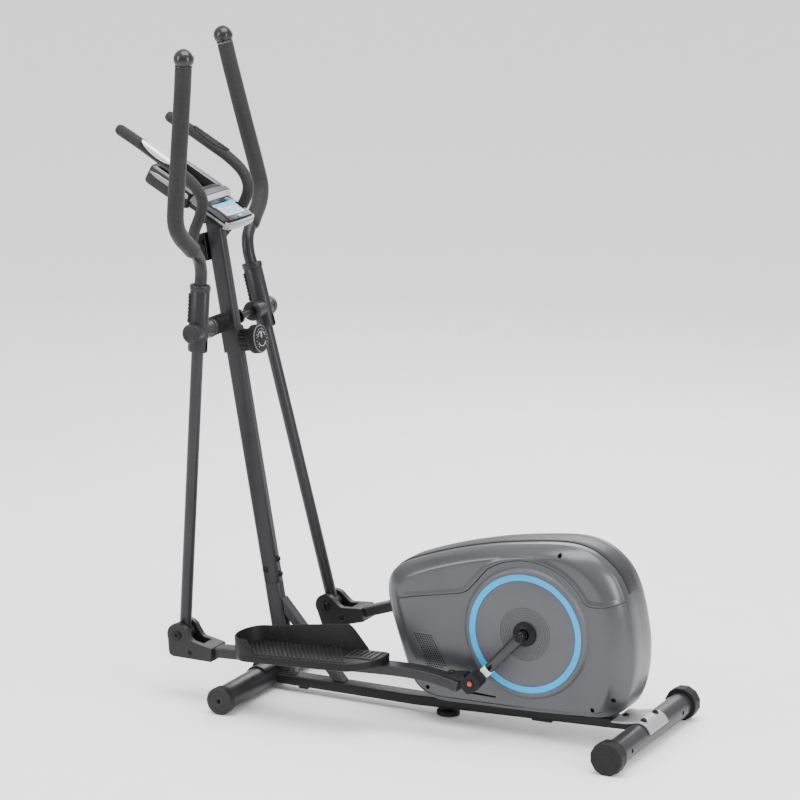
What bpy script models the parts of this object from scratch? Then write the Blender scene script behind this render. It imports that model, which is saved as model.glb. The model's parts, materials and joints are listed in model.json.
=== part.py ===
"""Elliptical trainer with a rear drive: frame, shrouded drive, two swinging arms, two pedal arms, cranks,
console and stabilizers.

Metres, +Z up.  +X is the rear (the drive), -X the front (the console); -Y is the user's left.
Every dimension is drawn from the DRAWING origin and the whole machine hangs from the empty "machine", which
puts the middle of the machine's box over the world origin.
"""

import math

import bmesh
import bpy
from mathutils import Matrix, Vector

GAP = 0.0003  # between pieces that touch
STEEL_WALL = 0.002

# where the drawing's origin stands in the world
MACHINE_X = 0.0262

# pivots of the two four-bar linkages
PIVOT = Vector((-0.466, 0.0, 0.894))  # upper pivot of both swinging arms
AXLE = Vector((0.350, 0.0, 0.256))  # crank axle
ARM_LENGTH = 0.738  # upper pivot to lower pivot
CRANK_LENGTH = 0.157
LEFT_ARM_ANGLE = math.radians(-3.66)  # positive puts the lower end rearward
LEFT_CRANK_ANGLE = math.radians(227.6)  # from +X towards +Z
ARM_Y = 0.1535  # plane of the swinging arms and pedal arms

# mast
MAST_LEAN = math.radians(9.93)
MAST_SIZE = (0.042, 0.030)
MAST_CORNER = 0.009
MAST_SPLIT = -0.641  # along the mast from the pivot
MAST_TOP = 0.235
MAST_FOOT_Z = 0.0405
KNOB_UP = -0.0520  # the tension knob's height on the mast, from the pivot
SHROUD_UP = -0.0465  # the middle of the cover round the mast behind it

# base
RAIL_WIDTH = 0.044
RAIL_HEIGHT = 0.024
RAIL_FRONT_X = -0.3376
RAIL_BEND_X = 0.03
RAIL_REAR_X = 0.583
RAIL_LEVEL = 0.0285  # height of the rail's middle ahead of the bend
RAIL_RISE = 0.038  # slope behind the bend
FRONT_FOOT_X = -0.3675
FRONT_WHEEL_RADIUS = 0.0333
FRONT_TUBE_RADIUS = 0.0295
FRONT_HALF = 0.253
REAR_FOOT_X = 0.614
REAR_TUBE_RADIUS = 0.0295
REAR_TUBE_Z = 0.0375  # the caps are centred 1 mm higher, so that turning them levels the machine
REAR_HALF = 0.235
CAP_APOTHEM = 0.0385
CAP_BORE_APOTHEM = 0.0350
CAP_LENGTH = 0.033
MIDDLE_FOOT_X = 0.110
FOOT_STUD = 0.011

# widths, measured out from the middle plane
SHELL_HALF = 0.088
DISC_INNER = 0.0884
CRANK_INNER = 0.1110
CRANK_OUTER = 0.1285
PEDAL_INNER = 0.1315
PEDAL_OUTER = 0.258

# drive
PULLEY_RADIUS = 0.120
HUB_RADIUS = 0.018
FLYWHEEL = Vector((0.155, 0.0, 0.205))
FLYWHEEL_RADIUS = 0.105
BELT_THICKNESS = 0.0022
BELT_MIDDLE_Y = 0.040
BELT_HALF = 0.0075
IDLER_RADIUS = 0.014
BRAKE_PIVOT = Vector((0.118, 0.0, 0.334))
BRAKE_INNER_RADIUS = 0.1125
BRAKE_OUTER_RADIUS = 0.1205

# console and handlebar
CONSOLE_TILT = math.radians(28.5)
CONSOLE_REAR = Vector((-0.4345, 0.0, 1.118))  # lowest rear edge
CONSOLE_HALF = 0.066
VISOR_HALF = 0.0735
TRAY_HALF = 0.0745
SENSOR_TURN = 25.0  # degrees that each pulse plate leans outward from the top of the bar
BAR_RADIUS = 0.0135
BAR_CLAMP = Vector((-0.534, 0.0, 1.062))


# ---------------------------------------------------------------- scene helpers


def clear_scene():
    for obj in list(bpy.data.objects):
        bpy.data.objects.remove(obj, do_unlink=True)


def material(name, colour, roughness, metallic=0.0):
    found = bpy.data.materials.get(name)
    if found:
        return found
    mat = bpy.data.materials.new(name)
    mat.use_nodes = True
    shader = mat.node_tree.nodes["Principled BSDF"]
    shader.inputs["Base Color"].default_value = (*colour, 1.0)
    shader.inputs["Roughness"].default_value = roughness
    shader.inputs["Metallic"].default_value = metallic
    return mat


def satin_steel():
    return material("charcoal_satin_steel", (0.055, 0.055, 0.060), 0.45, 0.3)


def black_steel():
    return material("black_painted_steel", (0.018, 0.018, 0.020), 0.5, 0.2)


def bright_steel():
    return material("bright_steel", (0.55, 0.56, 0.58), 0.3, 1.0)


def grey_shell():
    return material("metallic_grey_plastic", (0.16, 0.165, 0.175), 0.35, 0.4)


def dark_plastic():
    return material("dark_plastic", (0.04, 0.04, 0.043), 0.5)


def black_plastic():
    return material("black_plastic", (0.012, 0.012, 0.013), 0.45)


def foam():
    return material("foam_rubber", (0.035, 0.035, 0.037), 0.8)


def rubber():
    return material("black_rubber", (0.010, 0.010, 0.010), 0.7)


def silver_plastic():
    return material("silver_plastic", (0.55, 0.57, 0.60), 0.35, 0.5)


def cyan_plastic():
    return material("cyan_plastic", (0.10, 0.55, 0.80), 0.4)


def cast_iron():
    return material("cast_iron", (0.09, 0.09, 0.095), 0.6, 0.8)


def empty(name, location, parent=None, rotation=(0.0, 0.0, 0.0)):
    obj = bpy.data.objects.new(name, None)
    bpy.context.collection.objects.link(obj)
    obj.parent = parent
    obj.location = location
    obj.rotation_euler = rotation
    return obj


def add_mesh(name, bm, mat, parent, smooth=True):
    bmesh.ops.recalc_face_normals(bm, faces=bm.faces)
    mesh = bpy.data.meshes.new(name)
    bm.to_mesh(mesh)
    bm.free()
    if smooth:
        mesh.shade_smooth()
        mesh.set_sharp_from_angle(angle=math.radians(35))
    mesh.materials.append(mat)
    obj = bpy.data.objects.new(name, mesh)
    bpy.context.collection.objects.link(obj)
    obj.parent = parent
    return obj


def tool(name, bm, parent):
    """A boolean operand: never built, drawn as wire."""
    obj = add_mesh(name, bm, black_plastic(), parent, smooth=False)
    obj.hide_render = True
    obj.display_type = "WIRE"
    return obj


def boolean(obj, other, operation):
    mod = obj.modifiers.new(operation.lower() + "_" + other.name, "BOOLEAN")
    mod.operation = operation
    mod.solver = "EXACT"
    mod.object = other


def cut(obj, name, bm):
    boolean(obj, tool(name, bm, obj.parent), "DIFFERENCE")


def join(obj, name, bm):
    boolean(obj, tool(name, bm, obj.parent), "UNION")


def bevel(obj, width, segments=1, angle=40):
    mod = obj.modifiers.new("bevel", "BEVEL")
    mod.width = width
    mod.segments = segments
    mod.limit_method = "ANGLE"
    mod.angle_limit = math.radians(angle)


# ---------------------------------------------------------------- mesh helpers


def loft(rings, closed=False):
    """Skin between rings of equal length; closed joins the last to the first, else both ends are capped."""
    bm = bmesh.new()
    made = [[bm.verts.new(p) for p in ring] for ring in rings]
    count = len(made[0])
    spans = len(made) if closed else len(made) - 1
    for i in range(spans):
        low, high = made[i], made[(i + 1) % len(made)]
        for j in range(count):
            k = (j + 1) % count
            bm.faces.new((low[j], low[k], high[k], high[j]))
    if not closed:
        bm.faces.new(made[0][::-1])
        bm.faces.new(made[-1])
    return bm


def box(low, high):
    (x0, y0, z0), (x1, y1, z1) = low, high
    corners = [(x0, y0), (x1, y0), (x1, y1), (x0, y1)]
    return loft([[(x, y, z) for x, y in corners] for z in (z0, z1)])


def prism(outline, y0, y1):
    """An outline in X and Z, drawn out along Y."""
    return loft([[(x, y, z) for x, z in outline] for y in (y0, y1)])


def turned(profile, centre, axis="Y", steps=20, phase=0.0):
    """A closed profile of (radius, distance along the axis), turned into a ring-shaped solid."""
    frame = {"Y": Matrix.Rotation(math.radians(-90), 4, "X"), "Z": Matrix.Identity(4)}
    turn = frame[axis] if isinstance(axis, str) else axis
    rings = []
    for i in range(steps):
        a = phase + 2 * math.pi * i / steps
        ring = [Vector((r * math.cos(a), r * math.sin(a), s)) for r, s in profile]
        rings.append([turn @ p + Vector(centre) for p in ring])
    return loft(rings, closed=True)


def rod(radius, y0, y1, x=0.0, z=0.0, sides=16):
    """A plain cylinder along Y."""
    phase = math.pi / sides
    rings = []
    for y in (y0, y1):
        turns = [phase + 2 * math.pi * i / sides for i in range(sides)]
        rings.append([(x + radius * math.cos(a), y, z + radius * math.sin(a)) for a in turns])
    return loft(rings)


def circle(radius, sides=12, radius_y=None):
    radius_y = radius if radius_y is None else radius_y
    turns = [2 * math.pi * (i + 0.5) / sides for i in range(sides)]
    return [(radius * math.cos(a), radius_y * math.sin(a)) for a in turns]


def rounded_rectangle(width, depth, corner, steps=2):
    points = []
    for qx, qy, start in ((1, 1, 0), (-1, 1, 90), (-1, -1, 180), (1, -1, 270)):
        for i in range(steps + 1):
            a = math.radians(start + 90 * i / steps)
            x = qx * (width / 2 - corner) + corner * math.cos(a)
            y = qy * (depth / 2 - corner) + corner * math.sin(a)
            points.append((x, y))
    return points


def frames_along(points, side=Vector((0, 1, 0))):
    """Two section axes at each point of a route, square to it, the second kept close to side."""
    out = []
    for i, p in enumerate(points):
        ahead = points[min(i + 1, len(points) - 1)] - points[max(i - 1, 0)]
        ahead.normalize()
        across = (side - ahead * side.dot(ahead)).normalized()
        out.append((p, across.cross(ahead), across))
    return out


def sweep(points, section, inner=None, side=Vector((0, 1, 0))):
    """A section carried along a route; with an inner section it is a pipe open at both ends."""
    points = [Vector(p) for p in points]
    frames = frames_along(points, side)

    def skin(shape):
        return [[p + u * a + v * b for a, b in shape] for p, u, v in frames]

    rings = skin(section)
    if inner is None:
        return loft(rings)
    return loft(rings + skin(inner)[::-1], closed=True)


def smooth_route(points, count):
    """Points along the smooth curve through a few given ones."""
    pts = [Vector(p) for p in points]
    pts = [2 * pts[0] - pts[1]] + pts + [2 * pts[-1] - pts[-2]]
    spans = len(pts) - 3
    out = []
    for i in range(count):
        t = spans * i / (count - 1)
        k = min(int(t), spans - 1)
        t -= k
        a, b, c, d = pts[k : k + 4]
        out.append(
            0.5 * (2 * b + (c - a) * t + (2 * a - 5 * b + 4 * c - d) * t**2 + (3 * b - a - 3 * c + d) * t**3)
        )
    return out


def arc(cx, cz, radius, start, end, steps):
    """Points of an arc in X and Z, by degrees from +X towards +Z."""
    turns = [math.radians(start + (end - start) * i / steps) for i in range(steps + 1)]
    return [(cx + radius * math.cos(a), cz + radius * math.sin(a)) for a in turns]


def capsule(p, rp, q, rq, steps=6):
    """The outline round two discs, for a crank or a lever."""
    lie = math.degrees(math.atan2(q[1] - p[1], q[0] - p[0]))
    return arc(p[0], p[1], rp, lie + 90, lie + 270, steps) + arc(q[0], q[1], rq, lie - 90, lie + 90, steps)


# ---------------------------------------------------------------- linkage


def lower_pivot(angle):
    return PIVOT + ARM_LENGTH * Vector((math.sin(angle), 0, -math.cos(angle)))


def crank_pin(angle):
    return AXLE + CRANK_LENGTH * Vector((math.cos(angle), 0, math.sin(angle)))


def solve_arm_angle(pin, pedal_arm_length):
    """The arm angle that puts the lower pivot one pedal-arm length from the crank pin."""
    span = pin - PIVOT
    reach = span.length
    bearing = math.atan2(span.x, -span.z)
    cosine = (ARM_LENGTH**2 + reach**2 - pedal_arm_length**2) / (2 * ARM_LENGTH * reach)
    return bearing - math.acos(cosine)


def rise(start, end):
    return math.atan2(end.z - start.z, end.x - start.x)


# ---------------------------------------------------------------- frame


def rail_middle(x):
    return RAIL_LEVEL + max(0.0, x - RAIL_BEND_X) * RAIL_RISE


def rail_top(x):
    return rail_middle(x) + RAIL_HEIGHT / 2


def on_mast(forward, up, y=0.0):
    """A point given by its distance ahead of the mast's middle and up along it from the pivot."""
    along = Vector((-math.sin(MAST_LEAN), 0, math.cos(MAST_LEAN)))
    ahead = Vector((-math.cos(MAST_LEAN), 0, -math.sin(MAST_LEAN)))
    return PIVOT + along * up + ahead * forward + Vector((0, y, 0))


def mast_section(grow=0.0):
    return rounded_rectangle(MAST_SIZE[0] + grow, MAST_SIZE[1] + grow, MAST_CORNER + grow / 2)


def build_rail(machine):
    route = [Vector((x, 0, rail_middle(x))) for x in (RAIL_FRONT_X, RAIL_BEND_X, RAIL_REAR_X)]
    outer = rounded_rectangle(RAIL_HEIGHT, RAIL_WIDTH, 0.004, 1)
    inner = rounded_rectangle(RAIL_HEIGHT - 2 * STEEL_WALL, RAIL_WIDTH - 2 * STEEL_WALL, 0.002, 1)
    rail = add_mesh("base_rail", sweep(route, outer, inner), black_steel(), machine)
    hole = circle(0.009, 8)
    for name, x in (("rail_hole_front", -0.3135), ("rail_hole_rear", 0.160)):
        top = rail_top(x)
        ends = [Vector((x, 0, top - 0.006)), Vector((x, 0, top + 0.004))]
        cut(rail, name, sweep(ends, hole))


def build_mast(machine):
    foot = (MAST_FOOT_Z - PIVOT.z) / math.cos(MAST_LEAN)
    wall = mast_section(-2 * STEEL_WALL)
    post = sweep([on_mast(0, foot - 0.01), on_mast(0, MAST_SPLIT - GAP)], mast_section(), wall)
    post = add_mesh("mast_post", post, satin_steel(), machine)
    floor = box((-0.5, -0.1, 0.0), (-0.1, 0.1, MAST_FOOT_Z + GAP))
    cut(post, "post_floor_cut", floor)

    mast = sweep([on_mast(0, MAST_SPLIT), on_mast(0, MAST_TOP)], mast_section(), wall)
    mast = add_mesh("mast", mast, satin_steel(), machine)
    cut(mast, "mast_shaft_hole", rod(0.0105, -0.03, 0.03, PIVOT.x, PIVOT.z))
    knob_hole = circle(0.0055, 8)
    cut(mast, "mast_knob_hole", sweep([on_mast(-0.012, KNOB_UP), on_mast(-0.03, KNOB_UP)], knob_hole))

    shroud_outer = rounded_rectangle(0.0475, 0.0355, 0.003)
    shroud_inner = mast_section(2 * GAP + 0.0002)
    low, high = SHROUD_UP - 0.030, SHROUD_UP + 0.029
    shroud = sweep([on_mast(0, low), on_mast(0, high)], shroud_outer, shroud_inner)
    shroud = add_mesh("mast_shroud", shroud, dark_plastic(), machine)
    cut(shroud, "shroud_knob_hole", sweep([on_mast(-0.020, KNOB_UP), on_mast(-0.03, KNOB_UP)], knob_hole))

    brace = [(-0.3275, 0.2300), (-0.1600, 0.0408), (-0.1900, 0.0408), (-0.3205, 0.1900)]
    brace = add_mesh("mast_gusset", prism(brace, -0.014, 0.014), satin_steel(), machine)
    bevel(brace, 0.0015)



def build_pivot_shaft(machine):
    shaft = rod(0.0095, -0.172, 0.172, PIVOT.x, PIVOT.z)
    shaft = add_mesh("pivot_shaft", shaft, black_steel(), machine)
    collar = [(0.0090, -0.0990), (0.0225, -0.0990), (0.0225, -0.0400), (0.0090, -0.0400)]
    join(shaft, "shaft_collar", turned(collar, PIVOT, steps=16))


def build_front_stabilizer(machine):
    axis = (FRONT_FOOT_X, 0.0, FRONT_WHEEL_RADIUS)
    half = FRONT_HALF - 0.0240
    bore = FRONT_TUBE_RADIUS - STEEL_WALL
    tube = [(bore, -half), (FRONT_TUBE_RADIUS, -half), (FRONT_TUBE_RADIUS, half), (bore, half)]
    add_mesh("front_stabilizer", turned(tube, axis, steps=24), satin_steel(), machine)

    inner, outer = FRONT_TUBE_RADIUS + 0.0006, FRONT_TUBE_RADIUS + 0.0045
    wrap = arc(axis[0], axis[2], inner, 44, 200, 12) + arc(axis[0], axis[2], outer, 200, 44, 12)
    saddle = add_mesh("front_saddle", prism(wrap, -0.065, 0.065), satin_steel(), machine)
    bevel(saddle, 0.0008)

    for name, side in (("front_wheel_left", -1), ("front_wheel_right", 1)):
        hub = empty(name + "_joint", axis, machine)
        plug = bore - 0.0009
        start, face = half + 0.0006, FRONT_HALF
        profile = [
            (0.004, half - 0.020),
            (plug, half - 0.020),
            (plug, start),
            (FRONT_WHEEL_RADIUS - 0.0015, start),
            (FRONT_WHEEL_RADIUS, start + 0.002),
            (FRONT_WHEEL_RADIUS, face - 0.003),
            (FRONT_WHEEL_RADIUS - 0.003, face),
            (0.004, face),
        ]
        profile = [(r, side * s) for r, s in profile]
        add_mesh(name, turned(profile, (0, 0, 0), steps=24), dark_plastic(), hub)


def build_rear_stabilizer(machine):
    axis = (REAR_FOOT_X, 0.0, REAR_TUBE_Z)
    half = REAR_HALF - 0.0050
    bore = REAR_TUBE_RADIUS - STEEL_WALL
    tube = [(bore, -half), (REAR_TUBE_RADIUS, -half), (REAR_TUBE_RADIUS, half), (bore, half)]
    add_mesh("rear_stabilizer", turned(tube, axis, steps=20), satin_steel(), machine)

    inner = REAR_TUBE_RADIUS + 0.0005
    x, z = axis[0], axis[2]
    lip = 0.548
    hook = arc(x, z, inner, 15, 112, 8)
    hook += [(RAIL_REAR_X, rail_top(RAIL_REAR_X) + 2 * GAP), (lip, rail_top(lip) + GAP)]
    hook += [(lip, rail_top(lip) + 0.0045), (0.590, 0.0698)]
    hook += arc(x, z, inner + 0.0050, 100, 15, 6)
    add_mesh("rear_saddle", prism(hook, -0.052, 0.052), bright_steel(), machine, smooth=False)

    sides = 12
    lift = CAP_APOTHEM - REAR_TUBE_Z
    reach = REAR_HALF - CAP_LENGTH
    floor = REAR_HALF - 0.0042
    steps = [(CAP_APOTHEM, reach), (CAP_APOTHEM, REAR_HALF)]
    steps += [(CAP_BORE_APOTHEM, floor), (CAP_BORE_APOTHEM, reach)]
    for name, side in (("rear_leveling_cap_left", -1), ("rear_leveling_cap_right", 1)):
        hub = empty(name + "_joint", axis, machine)
        rings = []
        for apothem, y in steps:
            corner = apothem / math.cos(math.pi / sides)
            turns = [math.pi * (2 * i + 1) / sides for i in range(sides)]
            rings.append([(corner * math.cos(a), side * y, lift + corner * math.sin(a)) for a in turns])
        cap = cup(rings)
        add_mesh(name, cap, rubber(), hub, smooth=False)


def cup(rings):
    """A cup: two outer rings, then two inner ones; closed across the second and third, open at the mouth."""
    bm = bmesh.new()
    made = [[bm.verts.new(p) for p in ring] for ring in rings]
    count = len(made[0])
    for low, high in ((made[0], made[1]), (made[2], made[3]), (made[3], made[0])):
        for j in range(count):
            k = (j + 1) % count
            bm.faces.new((low[j], low[k], high[k], high[j]))
    bm.faces.new(made[1])
    bm.faces.new(made[2][::-1])
    return bm


def build_middle_foot(machine):
    top = rail_middle(MIDDLE_FOOT_X - FOOT_STUD) - RAIL_HEIGHT / 2 - 2 * GAP
    foot = empty("middle_foot_joint", (MIDDLE_FOOT_X, 0, 0), machine)
    profile = [
        (0.0255, 0.0),
        (0.0275, 0.002),
        (0.0275, 0.0095),
        (0.024, 0.012),
        (FOOT_STUD, 0.012),
        (FOOT_STUD, top),
    ]
    rings = []
    for r, z in profile:
        rings.append([(x, y, z) for x, y in circle(r, 16)])
    add_mesh("middle_foot", loft(rings), rubber(), foot)


# ---------------------------------------------------------------- housing

SHELL_CENTRE = (0.300, 0.260)
SHELL_OUTLINE = [
    (0.1230, 0.0550),
    (0.0780, 0.0650),
    (0.0435, 0.0910),
    (0.0225, 0.1390),
    (-0.0015, 0.2085),
    (-0.0180, 0.2645),
    (-0.0240, 0.3100),
    (-0.0150, 0.3435),
    (0.0095, 0.3665),
    (0.0590, 0.3890),
    (0.1500, 0.4195),
    (0.2500, 0.4440),
    (0.3500, 0.4600),
    (0.4200, 0.4670),
    (0.4690, 0.4635),
    (0.5125, 0.4465),
    (0.5535, 0.4115),
    (0.5785, 0.3640),
    (0.5960, 0.2950),
    (0.6045, 0.2260),
    (0.5990, 0.1540),
    (0.5790, 0.0975),
    (0.5480, 0.0745),
    (0.5000, 0.0700),
    (0.3700, 0.0625),
    (0.2310, 0.0585),
]
# how far the flank has rounded over at each distance from the middle plane
SHELL_LEVELS = [
    (GAP / 2, 0.0),
    (0.033, 0.0),
    (0.055, 0.15),
    (0.070, 0.42),
    (0.080, 0.72),
    (0.086, 1.0),
    (SHELL_HALF, 1.25),
]
SHELL_WALL = 0.003


def shell_ring(y, rounding, shrink=1.0):
    """The housing's outline at one distance from the middle, drawn in most at the front and rear."""
    cx, cz = SHELL_CENTRE
    ring = []
    for x, z in SHELL_OUTLINE:
        along = 1 - 0.14 * rounding
        up = 1 - (0.12 if z > cz else 0.04) * rounding
        ring.append((cx + (x - cx) * along * shrink, y, cz + (z - cz) * up * shrink))
    return ring


def build_shells(machine):
    for name, side in (("housing_left", -1), ("housing_right", 1)):
        outer = [shell_ring(side * y, k) for y, k in SHELL_LEVELS]
        inner = [shell_ring(side * max(y - SHELL_WALL, GAP / 2), k, 0.988) for y, k in SHELL_LEVELS]
        bm = bmesh.new()
        made_outer = [[bm.verts.new(p) for p in ring] for ring in outer]
        made_inner = [[bm.verts.new(p) for p in ring] for ring in inner]
        count = len(SHELL_OUTLINE)
        spans = list(zip(made_outer, made_outer[1:])) + list(zip(made_inner, made_inner[1:]))
        spans.append((made_outer[0], made_inner[0]))
        for low, high in spans:
            for j in range(count):
                k = (j + 1) % count
                bm.faces.new((low[j], low[k], high[k], high[j]))
        bm.faces.new(made_outer[-1])
        bm.faces.new(made_inner[-1][::-1])
        shell = add_mesh(name, bm, grey_shell(), machine)
        axle_hole = rod(0.022, side * 0.070, side * 0.095, AXLE.x, AXLE.z, 16)
        cut(shell, name + "_axle_hole", axle_hole)
        slot = box((0.150, -0.0165, 0.045), (0.368, 0.0165, 0.071))
        cut(shell, name + "_foot_slot", slot)


def build_spine(machine):
    """The strip that covers the joint between the two shells, from the front of the top to the rear."""
    cx, cz = SHELL_CENTRE
    line = SHELL_OUTLINE[7:18]
    low, high = [], []
    for x, z in line:
        out = Vector((x - cx, z - cz)).normalized()
        low.append((x + out.x * 0.0006, z + out.y * 0.0006))
        high.append((x + out.x * 0.0028, z + out.y * 0.0028))
    spine = prism(low + high[::-1], -0.032, 0.032)
    add_mesh("housing_spine", spine, grey_shell(), machine)


def build_side_discs(machine):
    for name, side in (("side_disc_left", -1), ("side_disc_right", 1)):
        profile = [
            (0.0135, DISC_INNER),
            (0.1545, DISC_INNER),
            (0.1545, 0.0930),
            (0.1405, 0.0970),
            (0.0300, 0.0965),
            (0.0290, 0.1045),
            (0.0135, 0.1045),
        ]
        profile = [(r, side * y) for r, y in profile]
        add_mesh(name, turned(profile, AXLE, steps=32), grey_shell(), machine)


# ---------------------------------------------------------------- drive


def build_bearing_frame(machine):
    plate = [
        (0.190, 0.0745),
        (0.400, 0.0745),
        (0.405, 0.100),
        (0.382, 0.290),
        (0.318, 0.290),
        (0.280, 0.205),
        (0.200, 0.235),
        (0.135, 0.352),
        (0.100, 0.345),
        (0.130, 0.180),
    ]
    frame = add_mesh("bearing_frame", prism(plate, -0.060, -0.055), black_steel(), machine, smooth=False)
    join(frame, "right_plate", prism(plate, 0.055, 0.060))
    join(frame, "base_plate", box((0.190, -0.0575, 0.0746), (0.395, 0.0575, 0.0790)))
    foot = [(0.200, rail_top(0.200) + GAP), (0.360, rail_top(0.360) + GAP), (0.360, 0.0760), (0.200, 0.0760)]
    join(frame, "frame_foot", prism(foot, -0.015, 0.015))
    idler = idler_place()
    join(frame, "idler_stub", rod(0.0040, 0.0300, 0.0570, idler.x, idler.z, 10))
    join(frame, "brake_stub", rod(0.0040, -0.0570, -0.0130, BRAKE_PIVOT.x, BRAKE_PIVOT.z, 10))
    cut(frame, "crank_bore", rod(0.0108, -0.07, 0.07, AXLE.x, AXLE.z, 16))
    cut(frame, "flywheel_bore", rod(0.0082, -0.07, 0.07, FLYWHEEL.x, FLYWHEEL.z, 12))


def build_crank_set(machine):
    hub = empty("crank_joint", AXLE, machine)
    add_mesh("crank_axle", rod(0.0100, -CRANK_INNER + GAP, CRANK_INNER - GAP), bright_steel(), hub)
    for name, side, turn in (("crank_left", -1, 0.0), ("crank_right", 1, math.pi)):
        angle = LEFT_CRANK_ANGLE + turn
        end = (CRANK_LENGTH * math.cos(angle), CRANK_LENGTH * math.sin(angle))
        shape = prism(capsule((0, 0), 0.0130, end, 0.0108), side * CRANK_INNER, side * CRANK_OUTER)
        crank = add_mesh(name, shape, black_steel(), hub)
        bevel(crank, 0.0025, 2)

    low, high = BELT_MIDDLE_Y - BELT_HALF, BELT_MIDDLE_Y + BELT_HALF
    bore = 0.0104
    profile = [
        (bore, 0.0250),
        (0.0250, 0.0250),
        (0.0250, 0.0370),
        (0.1100, 0.0370),
        (0.1100, low),
        (PULLEY_RADIUS, low),
        (PULLEY_RADIUS, high),
        (0.1100, high),
        (0.1100, 0.0430),
        (0.0250, 0.0430),
        (0.0250, 0.0520),
        (bore, 0.0520),
    ]
    add_mesh("drive_pulley", turned(profile, (0, 0, 0), steps=28), black_plastic(), hub)


def build_flywheel(machine):
    hub = empty("flywheel_joint", FLYWHEEL, machine)
    bore = 0.0086
    profile = [
        (bore, -0.0480),
        (0.0220, -0.0480),
        (0.0220, -0.0330),
        (0.0850, -0.0330),
        (0.0850, -0.0420),
        (FLYWHEEL_RADIUS, -0.0420),
        (FLYWHEEL_RADIUS, -0.0120),
        (0.0850, -0.0120),
        (0.0850, -0.0200),
        (HUB_RADIUS, -0.0200),
        (HUB_RADIUS, 0.0500),
        (bore, 0.0500),
    ]
    add_mesh("flywheel", turned(profile, (0, 0, 0), steps=24), cast_iron(), hub)
    axle = rod(0.0076, -0.0650, 0.0650, FLYWHEEL.x, FLYWHEEL.z, 12)
    add_mesh("flywheel_axle", axle, bright_steel(), machine)


def belt_tangent():
    """The lie of the line from axle to flywheel, and the angle from it to where the belt leaves a pulley."""
    line = Vector((FLYWHEEL.x - AXLE.x, FLYWHEEL.z - AXLE.z))
    lie = math.atan2(line.y, line.x)
    spread = math.acos((PULLEY_RADIUS - HUB_RADIUS) / line.length)
    return lie, spread


def build_belt(machine):
    lie, spread = belt_tangent()
    radius = GAP + 0.0002
    paths = []
    for grow in (radius, radius + BELT_THICKNESS):
        start, end = math.degrees(lie + spread), math.degrees(lie - spread) + 360
        around_pulley = arc(AXLE.x, AXLE.z, (PULLEY_RADIUS + grow) * 1.0015, start, end, 26)
        around_hub = arc(FLYWHEEL.x, FLYWHEEL.z, (HUB_RADIUS + grow) * 1.01, end - 360, start, 8)
        paths.append(around_pulley + around_hub)
    inner, outer = paths
    low, high = BELT_MIDDLE_Y - BELT_HALF + 0.001, BELT_MIDDLE_Y + BELT_HALF - 0.001
    rings = []
    for (xi, zi), (xo, zo) in zip(inner, outer):
        rings.append([(xi, low, zi), (xo, low, zo), (xo, high, zo), (xi, high, zi)])
    add_mesh("drive_belt", loft(rings, closed=True), rubber(), machine)


def idler_place():
    """The idler runs under the belt's lower straight run, a gap clear of the belt's back."""
    lie, spread = belt_tangent()
    out = lie + spread
    normal = Vector((math.cos(out), 0, math.sin(out)))
    start = AXLE + normal * PULLEY_RADIUS
    end = FLYWHEEL + normal * HUB_RADIUS
    middle = start.lerp(end, 0.62)
    return middle + normal * (BELT_THICKNESS + IDLER_RADIUS + 0.0012)


def build_idler(machine):
    hub = empty("idler_joint", idler_place(), machine)
    profile = [(0.0046, 0.0320), (IDLER_RADIUS, 0.0320), (IDLER_RADIUS, 0.0480), (0.0046, 0.0480)]
    add_mesh("idler", turned(profile, (0, 0, 0), steps=16), black_plastic(), hub)


def build_brake(machine):
    hub = empty("brake_joint", BRAKE_PIVOT, machine)
    cx, cz = FLYWHEEL.x - BRAKE_PIVOT.x, FLYWHEEL.z - BRAKE_PIVOT.z
    inner = arc(cx, cz, BRAKE_INNER_RADIUS, 112, 196, 10)
    outer = arc(cx, cz, BRAKE_OUTER_RADIUS, 196, 118, 10)
    lug = arc(0, 0, 0.0085, 190, 20, 6)
    shoe = add_mesh("magnet_brake", prism(inner + outer + lug, -0.040, -0.0145), black_steel(), hub)
    cut(shoe, "brake_bore", rod(0.0047, -0.05, 0.0, 0, 0, 12))


def build_cable(machine):
    """The tension cable: down inside the mast, along inside the rail and up to the magnet brake."""
    down = [on_mast(0, up) for up in (KNOB_UP - 0.012, -0.20, -0.40, -0.60, -0.78)]
    turn = [(-0.3185, 0, 0.052), (-0.3090, 0, 0.0345), (-0.2880, 0, 0.0288)]
    along = [(x, 0, rail_middle(x)) for x in (-0.20, -0.08, 0.03, 0.11)]
    up = [(0.148, 0, 0.0356), (0.163, 0, 0.048), (0.166, 0, 0.066)]
    up += [(0.150, -0.002, 0.095), (0.095, -0.004, 0.128), (0.050, -0.006, 0.150)]
    route = smooth_route(down + turn + along + up, 46)
    data = bpy.data.curves.new("tension_cable", "CURVE")
    data.dimensions = "3D"
    data.bevel_depth = 0.0018
    data.bevel_resolution = 1
    data.use_fill_caps = True
    spline = data.splines.new("POLY")
    spline.points.add(len(route) - 1)
    for point, place in zip(spline.points, route):
        point.co = (*place, 1.0)
    data.materials.append(rubber())
    obj = bpy.data.objects.new("tension_cable", data)
    bpy.context.collection.objects.link(obj)
    obj.parent = machine


def build_knob(machine):
    """The tension knob turns about an axis square to the mast, facing the rear."""
    hub = empty("knob_joint", on_mast(0, KNOB_UP), machine, (0, -MAST_LEAN, 0))
    profile = [
        (0.0040, 0.0080),
        (0.0040, 0.0243),
        (0.0260, 0.0243),
        (0.0260, 0.0490),
        (0.0345, 0.0530),
        (0.0345, 0.0712),
        (0.0310, 0.0765),
    ]
    rings = [[(s, y, z) for y, z in circle(r, 20)] for r, s in profile]
    add_mesh("tension_knob", loft(rings), black_plastic(), hub)


# ---------------------------------------------------------------- arms

GRIP_START = 0.195  # where the foam begins, up from the pivot


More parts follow.
